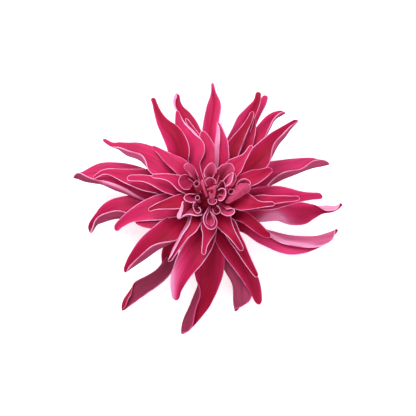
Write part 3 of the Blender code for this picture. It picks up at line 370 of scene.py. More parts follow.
# Quilled florets of the centre: rim, lift, root
FLORETS = [
    F("C1", [(-4.75, 15.5), (-5.75, 18.2), (-7.25, 21), (-9.5, 22.4), (-11.25, 22.4), (-12.25, 21), (-11.75, 19.5),
      (-10, 17.75), (-8.5, 15.5)], (37, 40, 37), (-5, 12, 28), bulge=0.6, drop=0.45, tone=0.4, rim_tone=0.45),
    F("C2", [(-1.75, 15), (-2.25, 17.5), (-1.85, 19.25), (-0.75, 21), (0.75, 22.35), (1.9, 22.9), (3, 22.25),
      (3.75, 21), (4.25, 19.5), (4.25, 17.5)], (39, 41, 39), (1.25, 12.5, 28), bulge=0.6, drop=0.45, tone=0.45,
      rim_tone=0.6),
    F("C3", [(4.5, 19.5), (5.5, 20.5), (7, 21.75), (9, 22.3), (10.5, 22.65), (11.75, 22.35), (12.75, 21.25),
      (13.4, 19.75), (13.25, 18.25)], (39, 41, 39), (6, 13, 28), bulge=0.6, drop=0.45, tone=0.35, rim_tone=0.55),
    F("C4", [(9, 10.5), (11.5, 12.5), (12.5, 15), (12.65, 18), (11, 17.25), (9, 15.5), (7, 13)], (41, 43, 41),
      (7.5, 11, 34), bulge=0.8, drop=0.5, tone=0.55),
    F("C4b", [(12.65, 18), (13.6, 17.1), (14.1, 15.25), (13.5, 13), (12.25, 11.25)], (42, 41, 40), (9.5, 12, 32),
      rim_tone=0.5),
    F("C5", [(-11, 16.85), (-13, 16.6), (-14.35, 15.4), (-14.9, 13.5), (-14.5, 11.5), (-13, 9.75), (-11, 9),
      (-9, 9.5)], (37, 38, 37), (-6, 12.5, 28), bulge=0.8, drop=0.5, tone=0, rim_tone=0.45),
    F("C6", [(14, 11), (14.75, 12.75), (16.5, 14.35), (19, 14.65), (21.15, 13.25), (21, 11.5), (19.75, 12),
      (17.5, 12.35), (15.5, 12)], (39, 38, 38), (9.5, 4, 27), tone=0.6, rim_tone=0.35),
    F("C7", [(15.5, 11.75), (17.5, 12.4), (19.75, 12.3), (21.1, 11.4), (21.3, 9.6), (20.4, 8), (18.2, 6.9),
      (16, 5.4), (12.8, 3.7), (9.8, 2.2), (8.4, 2.8), (9.8, 4.8), (12, 7.8), (14, 10.8)], (38, 36, 38),
      (16, 8.8, 39.5), closed=True, bulge=1, drop=2, tone=0.4),
    F("C8", [(-4.25, 12.35), (-5.75, 13.85), (-7.25, 12.35), (-5.75, 10.85)], (41, 41, 41), (-4, 6, 26),
      closed=True),
    F("C9", [(-4.1, 5.25), (-5.3, 6.45), (-6.5, 5.25), (-5.3, 4.05)], (41.5, 41.5, 41.5), (-2.5, 4, 27),
      closed=True, tone=0.6, rim_tone=1),
    F("C10", [(-7, 6.75), (-8.5, 7), (-10, 7), (-11.25, 6.5), (-12, 5.75), (-12.25, 4.75), (-11.5, 3.75), (-10, 3),
      (-8.25, 2.6), (-7, 3)], (39, 39, 39), (-3.5, 4.5, 27), bulge=0.7, drop=0.5, tone=0),
    F("C11", [(-6, 3.35), (-7.1, 2.65), (-7.5, 1.5), (-7.35, 0), (-6.6, -1.5), (-5.5, -2.5), (-4.5, -2.35),
      (-3.75, -1.5), (-3.75, -0.5), (-4.35, 0.25), (-5, 0.5)], (40, 40, 40), (-2, 1, 27), rim_tone=1),
    F("C12", [(-12.6, 3.5), (-13.35, 1), (-14.5, -1.5), (-15.6, -4), (-15, -5.6), (-13.5, -4.9), (-11.75, -3.75),
      (-9, -3.4), (-6, -4), (-2.5, -3.65)], (37, 36, 38), (-5.5, 1.5, 27), bulge=0.9, drop=0.7, tone=0.25,
      rim_tone=1),
    F("C12b", [(-12.8, 3.4), (-13.4, 1), (-14.5, -1.5), (-15.5, -3.9), (-15, -5.3), (-13.8, -4.8), (-13, -2.6),
      (-12.3, 0.4)], (37.6, 36.8, 37.6), (-13.6, -1.2, 37.9), closed=True, bulge=1, drop=1.8, tone=2, rim_tone=1.2),
    F("C13", [(0.15, 4.75), (0, 3.75), (0.5, 2.5), (1.75, 1.9), (3.25, 2.1), (4.25, 3), (4.4, 4), (3.75, 4.6)],
      (42, 42, 42), (2, 8, 30), tone=0.6, rim_tone=1.1),
    F("C14", [(2.4, -0.5), (2.75, -2), (3.75, -2.9), (5, -2.75), (6, -1.75), (6, -0.5), (5.15, 0.75), (4.15, 1.5)],
      (40, 40, 41), (2, 2.5, 28), rim_tone=0.9),
    F("C15", [(6.15, -2.25), (7.5, -3.25), (9.25, -4), (11, -4), (12.5, -3.35), (13.5, -2), (13.25, -0.9),
      (12.15, -0.3), (10.5, -0.5), (9.25, -0.75)], (39, 39, 39), (4.5, 2.5, 27), bulge=1, drop=0.6, tone=0.35),
    F("C16", [(5, 8.75), (6, 9.5), (7.25, 9.85), (8.5, 9.35), (9, 8.25), (9, 6.5), (8.25, 4.75), (7.25, 3.75),
      (6, 3.35), (5.15, 4)], (42, 42, 41), (5.5, 7.5, 30), bulge=0.9, drop=0.6, tone=0.6, rim_tone=1),
    F("C16b", [(4.5, 5.75), (5.25, 6.5), (6.25, 6.65), (7.25, 6), (7.65, 5)], (41, 41.5, 41), (6, 4, 33)),
    F("C17", [(10.25, 8.25), (10.5, 9.25), (11.5, 9.65), (12.75, 9.25), (13.15, 8.25), (12.65, 7.25), (11.5, 6.85),
      (10.6, 7.3)], (40, 40, 40), (7, 6.5, 28), closed=True, tone=0.35, rim_tone=0.3),
    F("C18", [(-1.5, 13.5), (-1, 14.35), (0, 15.15), (1.25, 15.35), (2.5, 15), (3.65, 14.1), (4.25, 13), (4, 12)],
      (41, 43, 42), (1.5, 10, 31), bulge=0.7, drop=0.5, tone=0.6),
    F("C19", [(-0.75, 8.75), (0.25, 9.85), (2, 10.6), (4, 11.4), (4.65, 10.85), (4, 10), (3.9, 8.5), (3.6, 6.75),
      (3.1, 5.2), (2.5, 6.5), (2.2, 8.7), (1, 8.9)], (42, 43, 42), (3, 9.4, 44.3), closed=True, bulge=1, drop=1.6,
      tone=0.6),
    F("C19b", [(1.5, 5), (0.7, 6), (0.4, 7.5), (0.9, 8.6), (1.5, 7.5), (1.8, 6)], (42, 42, 42), (1.1, 7, 43),
      closed=True, bulge=1, drop=1.6, tone=0.6),
    F("C20", [(-0.75, -1.75), (-2, -3.75), (-2.4, -6), (-1.75, -8.5), (0, -10.5), (2, -11), (4, -9.75),
      (4.65, -7.75), (4.15, -5.75), (3, -3.9), (1, -2.15)], (40, 38, 40), (1, 0.5, 28), bulge=0.9, drop=0.6, tone=0,
      rim_tone=0.3),
    F("C20b", [(0, -2.75), (-0.9, -4.5), (-1.1, -6.5), (-0.25, -8.5), (1.1, -9.25), (2.6, -8.75), (3.3, -7.25),
      (2.9, -5.25), (1.75, -3.4)], (39.5, 37.6, 39.5), (1, 0.5, 29), bulge=0.9, drop=0.6, tone=0.25, rim_tone=0.45),
    F("C21", [(-0.75, 5.5), (-2, 8.25), (-2.85, 11), (-3.35, 13.5), (-2.85, 14.35), (-2.1, 13), (-1.6, 11),
      (-1, 8.5), (-0.25, 6.5)], (41, 44, 41), (-1.9, 10, 43.8), closed=True, bulge=1, drop=1.6),
    F("C22", [(4.75, 10.5), (5.4, 12), (6.75, 13.85), (7.75, 13.6), (8.5, 12), (8.75, 10.25)], (42, 42, 42),
      (7, 8, 30), tone=0.4, rim_tone=0.5),
]


def smooth_step(x):
    x = np.clip(x, 0.0, 1.0)
    return x * x * (3 - 2 * x)


def place(station):
    """Point on the sight line through (across, up) that lies at the height lift."""
    across, up, lift = station
    upward = np.array([0.0, math.cos(EYE_TILT), math.sin(EYE_TILT)])
    aim = np.array([0.0, 0.0, AIM_HEIGHT])
    eye = aim + EYE_DISTANCE * np.array(EYE_BACK)
    seen = aim + np.array([across, 0.0, 0.0]) + up * upward
    ray = seen - eye
    return eye + ray * (lift - eye[2]) / ray[2]


def curve_slopes(points, knots):
    """Slopes of a smooth curve through the points, with each knot's neighbours weighed by distance."""
    steps = np.diff(points, axis=0) / np.diff(knots)[:, None]
    slopes = np.zeros_like(points)
    for i in range(1, len(points) - 1):
        share = (knots[i + 1] - knots[i]) / (knots[i + 1] - knots[i - 1])
        slopes[i] = share * steps[i - 1] + (1 - share) * steps[i]
    slopes[0] = 1.5 * steps[0] - 0.5 * slopes[1]
    slopes[-1] = 1.5 * steps[-1] - 0.5 * slopes[-2]
    return slopes


def even_slopes(knots, values):
    """Slopes that carry a smooth curve through the values with no overshoot."""
    steps = np.diff(values) / np.diff(knots)
    slopes = np.zeros(len(values))
    for i in range(1, len(values) - 1):
        if steps[i - 1] * steps[i] > 0:
            slopes[i] = 2 * steps[i - 1] * steps[i] / (steps[i - 1] + steps[i])
    slopes[-1] = steps[-1]
    return slopes


def smooth_curve(knots, values, slopes, x):
    """Value at x of the smooth curve that has these values and slopes at its knots."""
    i = min(max(int(np.searchsorted(knots, x) - 1), 0), len(knots) - 2)
    h = knots[i + 1] - knots[i]
    s = (x - knots[i]) / h
    start = (2 * s**3 - 3 * s**2 + 1) * values[i] + (s**3 - 2 * s**2 + s) * h * slopes[i]
    end = (3 * s**2 - 2 * s**3) * values[i + 1] + (s**3 - s**2) * h * slopes[i + 1]
    return start + end


def resample(places, known, points):
    """Rows of the points at other places along them."""
    return np.stack([np.interp(places, known, column) for column in points.T], 1)


def centre_line(points, places):
    """Smooth curve through the stations: points and directions at the places, length, share of each station."""
    points = np.asarray(points, float)
    gaps = np.sqrt(np.linalg.norm(np.diff(points, axis=0), axis=1))
    knots = np.concatenate([[0.0], np.cumsum(gaps)])
    slopes = curve_slopes(points, knots)
    spots = np.linspace(0, knots[-1], LINE_STEPS)
    fine = np.array([smooth_curve(knots, points, slopes, x) for x in spots])
    arc = np.concatenate([[0.0], np.cumsum(np.linalg.norm(np.diff(fine, axis=0), axis=1))])
    along = np.asarray(places) * arc[-1]
    heading = resample(along, arc, np.gradient(fine, arc, axis=0))
    heading /= np.linalg.norm(heading, axis=1)[:, None]
    return resample(along, arc, fine), heading, arc[-1], np.interp(knots, spots, arc) / arc[-1]


def turn_at(turn, u):
    """Roll of the whole blade about its centre line, given at the root, the middle and the tip."""
    root, middle, tip = turn
    if u < 0.5:
        return root + (middle - root) * smooth_step(u / 0.5)
    return middle + (tip - middle) * smooth_step((u - 0.5) / 0.5)


def set_in(onset, u, share=1.0):
    """Goes from 0 to 1 over the onset, or over a first share of it."""
    first, full = onset
    return smooth_step((u - first) / (share * (full - first)))


def middle_to_tip(pair, onset, u):
    """The middle's value up to the onset's end, and on from there to the tip's."""
    middle, tip = pair
    full = onset[1]
    return middle + (tip - middle) * smooth_step((u - full) / (1 - full))


def margin_at(angles, onset, u):
    """How far a margin is rolled over the face: nothing at the root, full well before the onset's end."""
    return set_in(onset, u, ROLL_UP) * middle_to_tip(angles, onset, u)


def curl_at(petal, u):
    """Share of a half that is rolled: it grows from a narrow hem over the onset, then on to the tip's."""
    grown = middle_to_tip(petal.curl, petal.onset, u)
    return grown * (FIRST_CURL + (1 - FIRST_CURL) * set_in(petal.onset, u))


def lean_at(petal, u):
    """Share of the width that the left half has: even at the root, set from the onset's end, then the tip's."""
    return 0.5 + (middle_to_tip(petal.lean, petal.onset, u) - 0.5) * set_in(petal.onset, u)


def drawn_back(petal, half_width, curl, u):
    """Half width and rolled share once the rolled part is cut back to let its edge wander."""
    share, spot, reach = petal.ebb
    lost = share * math.exp(-(((u - spot) / reach) ** 2))
    kept = 1 - curl * lost
    return half_width * kept, curl * (1 - lost) / kept


def half_width_at(petal, shares, length, u):
    """Half the width at u: smooth between the stations and rounded off at the tip."""
    values = np.array([ROOT_WIDTH * max(petal.widths), *petal.widths]) / 2
    width = smooth_curve(shares, values, even_slopes(shares, values), u)
    end = min(TIP_ROUND * values[-1] / length, TIP_ROUND_MOST)
    past = min(max((u - 1 + end) / end, 0.0), 1.0)
    return width * math.sqrt(1 - past * past)


def root_and_line(petal):
    """Root point, the other stations, and the level direction that the petal grows in."""
    stations = [place(q) for q in petal.line]
    last = stations[-1] - stations[-2]
    stations[-1] = stations[-1] + TIP_SPARE * last / np.linalg.norm(last)
    axis = np.array([AXIS_X, AXIS_Y])
    toward = stations[0][:2] - axis
    if np.linalg.norm(toward) < NEAR_AXIS:
        toward = stations[-1][:2] - axis
    radius, height = RING_ROOTS[petal.ring]
    root = np.array([*(axis + radius * toward / np.linalg.norm(toward)), height])
    reach = stations[-1] - root
    reach[2] = 0.0
    return root, stations, reach / np.linalg.norm(reach)


def half_section(petal, half_width, ease, margin, curl, turn, sign, shares):
    """Offsets sideways and upward of one half of the cross-section at the given shares of the half width."""
    s = (np.arange(SECTION_STEPS) + 0.5) / SECTION_STEPS
    rolled = np.clip((s - (1 - curl)) / (BEND_SHARE * curl), 0, 1)
    folded = petal.fold * np.tanh(s / FOLD_REACH)
    tilt = sign * np.radians(ease * (petal.cup * s + folded) + margin * rolled) + turn
    edge = np.linspace(0, 1, SECTION_STEPS + 1)
    sideways = np.concatenate([[0.0], np.cumsum(np.cos(tilt))]) * sign * half_width / SECTION_STEPS
    upward = np.concatenate([[0.0], np.cumsum(np.sin(tilt))]) * sign * half_width / SECTION_STEPS
    return np.interp(shares, edge, sideways), np.interp(shares, edge, upward)


def column_shares(angles, curl, count):
    """Shares of the half width for the columns of one side, closer together where its margin bends over."""
    s = np.linspace(0, 1, 200)
    weight = np.ones_like(s)
    if angles != (0, 0):
        start = 1 - curl
        end = start + BEND_SHARE * curl
        bend = smooth_step((s - start + BEND_SOFT) / BEND_SOFT) - smooth_step((s - end) / BEND_SOFT)
        weight += BEND_COLUMNS * bend
    weight += EDGE_COLUMNS * smooth_step((s - (1 - EDGE_SHARE)) / EDGE_SHARE)
    total = np.concatenate([[0.0], np.cumsum(0.5 * (weight[1:] + weight[:-1]))])
    return np.interp(np.linspace(0, total[-1], count + 1), total, s)


def tone_of(petal, across, half_widths, u):
    """Face tone: set tone, painted shade down a fold, painted sheen at the margins, a painted patch on one side."""
    spot, reach, side, strength = petal.blush
    share = across / half_widths
    # Painted highlight where the strength is above 0, painted shade where below
    patch = strength * np.exp(-(((u - spot) / reach) ** 2)) * smooth_step(0.5 + 0.5 * side * share)
    # Painted sheen towards the margins
    lift, base = MARGIN_SHEEN
    # Painted shade down the middle of a fold
    crease = petal.crease * np.exp(-((across / CREASE_SHADE_WIDTH) ** 2))
    return petal.tone - crease + (lift * share**2 + base) + patch


def blade(petal):
    """Middle surface of the blade in mm from root to tip, with its map and its measures."""
    places = 1 - (1 - np.linspace(0, 1, PETAL_ROWS + 1)) ** TIP_CROWDING
    root, line, outward = root_and_line(petal)
    centre, heading, length, stations = centre_line([root] + line, places)
    half_count = PETAL_COLUMNS // 2
    grid = np.zeros((PETAL_ROWS + 1, PETAL_COLUMNS + 1, 3))
    across = np.zeros(grid.shape[:2])
    edge = np.zeros(grid.shape[:2])
    half_widths = np.zeros(PETAL_ROWS + 1)
    for i, u in enumerate(places):
        level = np.cross(heading[i] + STEADY * outward, [0.0, 0.0, 1.0])
        normal = np.cross(level, heading[i])
        normal /= np.linalg.norm(normal)
        side = np.cross(heading[i], normal)
        even_half = half_width_at(petal, stations, length, u) + MARGIN_SPARE
        half_widths[i] = even_half
        ease = min(even_half / (FULL_CUP * max(petal.widths)), 1.0)
        turn = math.radians(turn_at(petal.turn, u))
        curl = curl_at(petal, u)
        lean = lean_at(petal, u)
        for sign, angles, part in ((-1, petal.left, lean), (1, petal.right, 1 - lean)):
            half_width, rolled = 2 * part * even_half, curl
            if angles != (0, 0):
                half_width, rolled = drawn_back(petal, half_width, curl, u)
            shares = column_shares(angles, rolled, half_count)
            margin = margin_at(angles, petal.onset, u) * ease
            x, y = half_section(petal, half_width, ease, margin, rolled, turn, sign, shares)
            columns = half_count + sign * np.arange(half_count + 1)
            grid[i, columns] = centre[i] + np.outer(x, side) + np.outer(y, normal)
            across[i, columns] = sign * shares * half_width
            edge[i, columns] = (1 - shares) * half_width
    u = places[:, None]
    along = np.broadcast_to(u * length, across.shape)
    edge = np.maximum(np.minimum(edge, length - along), 0.0)
    # Painted highlight band along the underside's edge, fading towards the tip
    fade_from, fade_over = HEM_END
    hem = petal.hem * np.exp(-((edge / HEM_REACH) ** 2)) * (1 - smooth_step((u - fade_from) / fade_over))
    measures = {"edge": edge, "tone": tone_of(petal, across, half_widths[:, None], u), "pale": petal.pale + hem,
                "rim": np.full(across.shape, petal.rim)}
    return grid, across, along, measures


def closed_rim(points, places):
    """Points at the places along a smooth loop through the points."""
    wrapped = [points[-1]] + points + [points[0], points[1]]
    line = centre_line(wrapped, np.linspace(0, 1, LOOP_STEPS * len(wrapped)))[0]
    half = len(line) // 2
    away = np.linalg.norm(line - points[0], axis=1)
    loop = line[int(np.argmin(away[:half])):half + int(np.argmin(away[half:])) + 1]
    loop[-1] = loop[0]
    return resample(places * (len(loop) - 1), np.arange(len(loop)), loop)


def floret_wall(floret):
    """Inner surface of a floret in mm from the rim down to the root, with its map and its measures."""
    rim = floret.rim
    lifts = np.interp(np.linspace(0, 1, len(rim)), [0, 0.5, 1], floret.lift)
    points = [place((across, up, lift)) for (across, up), lift in zip(rim, lifts)]
    area = sum(a * d - b * c for (a, b), (c, d) in zip(rim, rim[1:] + rim[:1]))
    if area < 0:
        points.reverse()
    places = np.linspace(0, 1, FLORET_COLUMNS + 1)
    curve = closed_rim(points, places) if floret.closed else centre_line(points, places)[0]
    root = place(floret.root)
    grid = np.zeros((FLORET_ROWS + 1, FLORET_COLUMNS + 1, 3))
    for i, t in enumerate(np.linspace(0, 1, FLORET_ROWS + 1) ** RIM_CROWDING):
        inward = ROOT_PINCH * t**floret.bulge
        down = 1 - (1 - t) ** floret.drop
        grid[i, :, :2] = curve[:, :2] + (root[:2] - curve[:, :2]) * inward
        grid[i, :, 2] = curve[:, 2] + (root[2] - curve[:, 2]) * down
    steps = np.linalg.norm(np.diff(grid, axis=0), axis=2)
    edge = np.concatenate([np.zeros((1, FLORET_COLUMNS + 1)), np.cumsum(steps, axis=0)])
    across = np.broadcast_to(places * RIM_SPAN, edge.shape)
    measures = {"edge": edge, "tone": np.full(edge.shape, floret.tone),
                "rim": np.full(edge.shape, floret.rim_tone)}
    return grid, across, edge, measures


def new_sheet_mesh():
    mesh = bmesh.new()
    for name in ("edge", "tone", "pale", "rim"):
        mesh.verts.layers.float.new(name)
    mesh.loops.layers.uv.new("blade")
    return mesh


def add_sheet(mesh, grid, across, along, measures, number):
    """Adds a grid to the mesh and carries each of its points to its place, with its measures as attributes."""
    rows, columns = grid.shape[:2]
    layers = mesh.verts.layers.float
    uv = mesh.loops.layers.uv["blade"]
    made = bmesh.ops.create_grid(mesh, x_segments=columns - 1, y_segments=rows - 1, size=0.5)
    spots = {}
    faces = set()
    for vert in made["verts"]:
        j = round((vert.co.x + 0.5) * (columns - 1))
        i = round((vert.co.y + 0.5) * (rows - 1))
        vert.co = [(p + s) * MM for p, s in zip(grid[i, j], SETTLE)]
        for name, values in measures.items():
            vert[layers[name]] = values[i, j]
        spots[vert] = (across[i, j] + MAP_STEP * number, along[i, j])
        faces.update(vert.link_faces)
    for face in faces:
        for loop in face.loops:
            loop[uv].uv = spots[loop.vert]
    return made["verts"]


def placed(name, data):
    """New object with this data, linked to the scene."""
    made = bpy.data.objects.new(name, data)
    bpy.context.scene.collection.objects.link(made)
    return made


def object_from(mesh, name, materials):
    for face in mesh.faces:
        face.smooth = True
    data = bpy.data.meshes.new(name)
    mesh.to_mesh(data)
    mesh.free()
    for material in materials:
        data.materials.append(material)
    return placed(name, data)


def round_off(piece):
    rounding = piece.modifiers.new("rounding", "SUBSURF")
    rounding.levels = 1
    rounding.render_levels = 1
    return piece


def thicken(piece, thickness):
    """Even wall with its own finish on the underside and the rim, rounded."""
    wall = piece.modifiers.new("wall", "SOLIDIFY")
    wall.thickness = thickness * MM
    wall.offset = 0.0
    wall.use_even_offset = True
    wall.thickness_clamp = 1.0
    wall.material_offset = 1
    wall.material_offset_rim = 2
    return round_off(piece)


def sheet_piece(name, sheets, thickness, materials):
    """Piece of thickened sheets, each with its number and whether its first and last columns join."""
    mesh = new_sheet_mesh()
    for sheet, number, joined in sheets:
        verts = add_sheet(mesh, *sheet, number)
        if joined:
            bmesh.ops.remove_doubles(mesh, verts=verts, dist=1e-6)
    return thicken(object_from(mesh, name, materials), thickness)


def petal_ring(ring, materials):
    petals = TOP_PETALS + RIGHT_PETALS + BOTTOM_PETALS + LEFT_PETALS
    sheets = [(blade(petal), number, False) for number, petal in enumerate(petals) if petal.ring == ring]
    return sheet_piece(RING_NAMES[ring], sheets, PETAL_THICKNESS, materials)


def make_florets(materials):
    sheets = [(floret_wall(floret), number, floret.closed) for number, floret in enumerate(FLORETS)]
    return sheet_piece("centre_florets", sheets, FLORET_THICKNESS, materials)


def spun(profile, steps):
    """Mesh of a profile of radius and height pairs spun round the bloom's axis, and the axis's foot."""
    mesh = bmesh.new()
    chain = [mesh.verts.new(((AXIS_X + r + SETTLE[0]) * MM, (AXIS_Y + SETTLE[1]) * MM, z * MM))
             for r, z in profile]
    edges = [mesh.edges.new(pair) for pair in zip(chain, chain[1:])]
    foot = Vector(((AXIS_X + SETTLE[0]) * MM, (AXIS_Y + SETTLE[1]) * MM, 0.0))
    bmesh.ops.spin(mesh, geom=chain + edges, cent=foot, axis=(0, 0, 1), angle=2 * math.pi, steps=steps,
                   use_merge=True)
    bmesh.ops.remove_doubles(mesh, verts=mesh.verts, dist=1e-6)
    return mesh, foot


def make_receptacle(material):
    """Receptacle between the floret roots, roughened; its dark crimson finish is painted shade."""
    mesh, foot = spun(CORE_PROFILE, CORE_STEPS)
    bmesh.ops.subdivide_edges(mesh, edges=mesh.edges, cuts=2, use_grid_fill=True)
    bmesh.ops.recalc_face_normals(mesh, faces=mesh.faces)
    for vert in mesh.verts:
        away = vert.co - foot
        outward = Vector((away.x, away.y, 0.3 * away.z)).normalized()
        vert.co += outward * CORE_ROUGHNESS * MM * noise.noise(away * CORE_GRAIN)
    return object_from(mesh, "receptacle", [material])


def make_stalk(material):
    """Cut stalk and the ribbed cup that carries the bloom."""
    mesh, foot = spun(STALK_PROFILE, STALK_STEPS)
    bmesh.ops.recalc_face_normals(mesh, faces=mesh.faces)
    for vert in mesh.verts:
        away = vert.co - foot
        swell = 1 + RIB_DEPTH * math.cos(RIB_COUNT * math.atan2(away.y, away.x))
        vert.co.x = foot.x + away.x * swell
        vert.co.y = foot.y + away.y * swell
    return round_off(object_from(mesh, "stalk_and_cup", [material]))


def bract_sheet(angle, reach, length, width, height, droop):
    """Middle surface of one bract in mm that leaves the cup and bends over, and its map."""
    outward = np.array([math.cos(angle), math.sin(angle), 0.0])
    side = np.array([math.sin(angle), -math.cos(angle), 0.0])
    rise = np.array([0.0, 0.0, 1.0])
    base = np.array([AXIS_X, AXIS_Y, 0.0])
    share = np.linspace(0, 1, BRACT_ROWS + 1)
    grid = np.zeros((BRACT_ROWS + 1, BRACT_COLUMNS + 1, 3))
    across = np.zeros(grid.shape[:2])
    for i, u in enumerate(share):
        # Widest near the cup, nearly closed at the tip, and hollow across
        half = 0.5 * width * max(math.cos(0.5 * math.pi * (0.1 + 0.86 * u)), 0.02) ** 0.6
        centre = base + (reach + length * u) * outward + (height - droop * u * u) * rise
        for j in range(BRACT_COLUMNS + 1):
            v = 2 * j / BRACT_COLUMNS - 1
            grid[i, j] = centre + v * half * side + (0.9 * v * v - 0.5) * 0.3 * half * rise
            across[i, j] = v * half
    return grid, across, np.broadcast_to((share * length)[:, None], across.shape), {}


def make_bracts(materials):
    """A lower row of bracts that bend away, and an upper row between them that hugs the bloom."""
    sheets = []
    for k in range(BRACT_COUNT):
        for shift, sizes in ((0.5, LOWER_BRACT), (0.0, UPPER_BRACT)):
            angle = 2 * math.pi * (k + shift) / BRACT_COUNT
            sheets.append((bract_sheet(angle, *sizes), k + 0.5 - shift, False))
    return sheet_piece("calyx_bracts", sheets, BRACT_THICKNESS, materials)


def fill(tree, socket, value):
    """Links the socket from another, or sets its value."""
    if isinstance(value, bpy.types.NodeSocket):
        tree.links.new(value, socket)
    else:
        socket.default_value = (*value, 1.0) if socket.type == "RGBA" else value


def node(tree, kind, inputs, **settings):
    made = tree.nodes.new(kind)
    for key, value in settings.items():
        setattr(made, key, value)
    for key, value in inputs.items():
        fill(tree, made.inputs[key], value)
    return made


def new_finish(name):
    material = bpy.data.materials.new(name)
    material.use_nodes = True
    return material, material.node_tree


def dress(material, inputs):
    tree = material.node_tree
    for name, value in inputs.items():
        fill(tree, tree.nodes["Principled BSDF"].inputs[name], value)
    return material


def attribute(tree, name):
    return node(tree, "ShaderNodeAttribute", {}, attribute_name=name, attribute_type="GEOMETRY").outputs["Fac"]


def spread(tree, value, source, target, smooth=True):
    """Carries a value from one range into another."""
    ends = dict(zip(("From Min", "From Max", "To Min", "To Max"), (*source, *target)))
    kind = "SMOOTHSTEP" if smooth else "LINEAR"
    return node(tree, "ShaderNodeMapRange", {"Value": value, **ends}, interpolation_type=kind).outputs["Result"]


def blend_colours(tree, share, first, second):
    """Mixes two colours, fixed or sockets."""
    return node(tree, "ShaderNodeMix", {"Factor": share, 6: first, 7: second}, data_type="RGBA").outputs[2]


def streaks(tree, across, along, detail):
    """Noise drawn out along the blade, on the map that holds millimetres across and along it."""
    blade_map = node(tree, "ShaderNodeUVMap", {}, uv_map="blade").outputs["UV"]
    drawn_out = node(tree, "ShaderNodeMapping", {"Vector": blade_map, "Scale": (across, along, 1.0)})
    inputs = {"Vector": drawn_out.outputs["Vector"], "Scale": 1.0, "Detail": detail, "Roughness": 0.55}
    return node(tree, "ShaderNodeTexNoise", inputs, noise_dimensions="2D").outputs["Fac"]


def cloud(tree, scale, detail):
    """Soft noise through the piece's own space."""
    space = node(tree, "ShaderNodeTexCoord", {}).outputs["Object"]
    return node(tree, "ShaderNodeTexNoise", {"Vector": space, "Scale": scale, "Detail": detail}).outputs["Fac"]


def bump(tree, height, depth, strength, **below):
    inputs = {"Height": height, "Distance": depth * MM, "Strength": strength, **below}
    return node(tree, "ShaderNodeBump", inputs).outputs["Normal"]


def from_axis(tree, near, far):
    """Rises from 0 at the near distance from the bloom's axis to 1 at the far one, in mm."""
    space = node(tree, "ShaderNodeTexCoord", {}).outputs["Object"]
    foot = (-(AXIS_X + SETTLE[0]) * MM, -(AXIS_Y + SETTLE[1]) * MM, 0.0)
    shift = node(tree, "ShaderNodeMapping", {"Vector": space, "Location": foot, "Scale": (1.0, 1.0, 0.0)})
    length = node(tree, "ShaderNodeVectorMath", {0: shift.outputs["Vector"]}, operation="LENGTH")
    return spread(tree, length.outputs["Value"], (near * MM, far * MM), (0.0, 1.0))


def tone_ramp(tree, value, stops):
    """Colour along a tone that runs from 0 to its end."""
    share = spread(tree, value, (0.0, TONE_END), (0.0, 1.0), smooth=False)
    made = node(tree, "ShaderNodeValToRGB", {"Fac": share})
    ramp = made.color_ramp
    while len(ramp.elements) < len(stops):
        ramp.elements.new(0.5)
    for element, (position, colour) in zip(ramp.elements, stops):
        element.position = position / TONE_END
        element.color = (*colour, 1.0)
    return made.outputs["Color"]


def rim_colour(tree):
    """The margin's colour: each petal's set paleness, partly its own colour and partly painted highlight, with a
    soft change along it.
    """
    wander = spread(tree, streaks(tree, 0.1, 0.12, 2.0), NOISE_RANGE, (-0.3, 0.3))
    paleness = node(tree, "ShaderNodeMath", {0: attribute(tree, "rim"), 1: wander}, operation="ADD", use_clamp=True)
    return blend_colours(tree, paleness.outputs[0], DULL_RIM, PALE_RIM)


def skin(name, measure, stops, heart_shade, heart_shade_range, rough, rim_band, streak_depth):
    """Petal skin: a set tone, lengthwise streaks and a pale line at the margin.

    Near the bloom's axis it turns to a deeper colour, painted shade deep in the bloom, and to its own over the
    given range, in mm from the axis. The pale line fades out over the rim band, in mm from the margin.
    """
    material, tree = new_finish(name)
    fine = streaks(tree, 1.3, 0.05, 4.0)
    broad = streaks(tree, 0.35, 0.05, 2.0)
    own = tone_ramp(tree, attribute(tree, measure), stops)
    # Painted shade: a deeper colour towards the bloom's axis, where the inner parts lie in shadow
    colour = blend_colours(tree, from_axis(tree, *heart_shade_range), heart_shade, own)
    patches = spread(tree, broad, NOISE_RANGE, (0.84, 1.10), smooth=False)
    lines = spread(tree, fine, (0.35, 0.75), (1.06, 0.84), smooth=False)
    value = node(tree, "ShaderNodeMath", {0: patches, 1: lines}, operation="MULTIPLY").outputs[0]
    shade = node(tree, "ShaderNodeHueSaturation", {"Color": colour, "Value": value}).outputs["Color"]
    line = spread(tree, attribute(tree, "edge"), rim_band, (1.0, 0.0))
    return dress(material, {
        "Base Color": blend_colours(tree, line, shade, rim_colour(tree)),
        "Roughness": spread(tree, cloud(tree, 260.0, 3.0), NOISE_RANGE, (rough - 0.06, rough + 0.06)),
        "Specular IOR Level": 0.07,
        "Normal": bump(tree, fine, streak_depth, 0.5, Normal=bump(tree, broad, 0.25, 0.35))})


def rim_finish():
    """The rounded pale margin."""
    material, tree = new_finish("petal_rim")
    return dress(material, {
        "Base Color": rim_colour(tree),
        "Roughness": spread(tree, cloud(tree, 500.0, 2.0), NOISE_RANGE, (0.34, 0.46)),
        "Specular IOR Level": 0.15,
        "Normal": bump(tree, cloud(tree, 900.0, 2.0), 0.1, 0.3)})


def heart_shade_finish():
    """Deep crimson of the receptacle, darkened nearly to black as painted shade for the gaps between the florets."""
    material, tree = new_finish("heart_crimson_shade")
    grain = cloud(tree, 700.0, 4.0)
    return dress(material, {
        "Base Color": blend_colours(tree, spread(tree, grain, NOISE_RANGE, (0.0, 1.0)), HEART_DARK, HEART_LIGHT),
        "Roughness": 0.8,
        "Specular IOR Level": 0.05,
        "Normal": bump(tree, grain, 0.4, 0.6)})


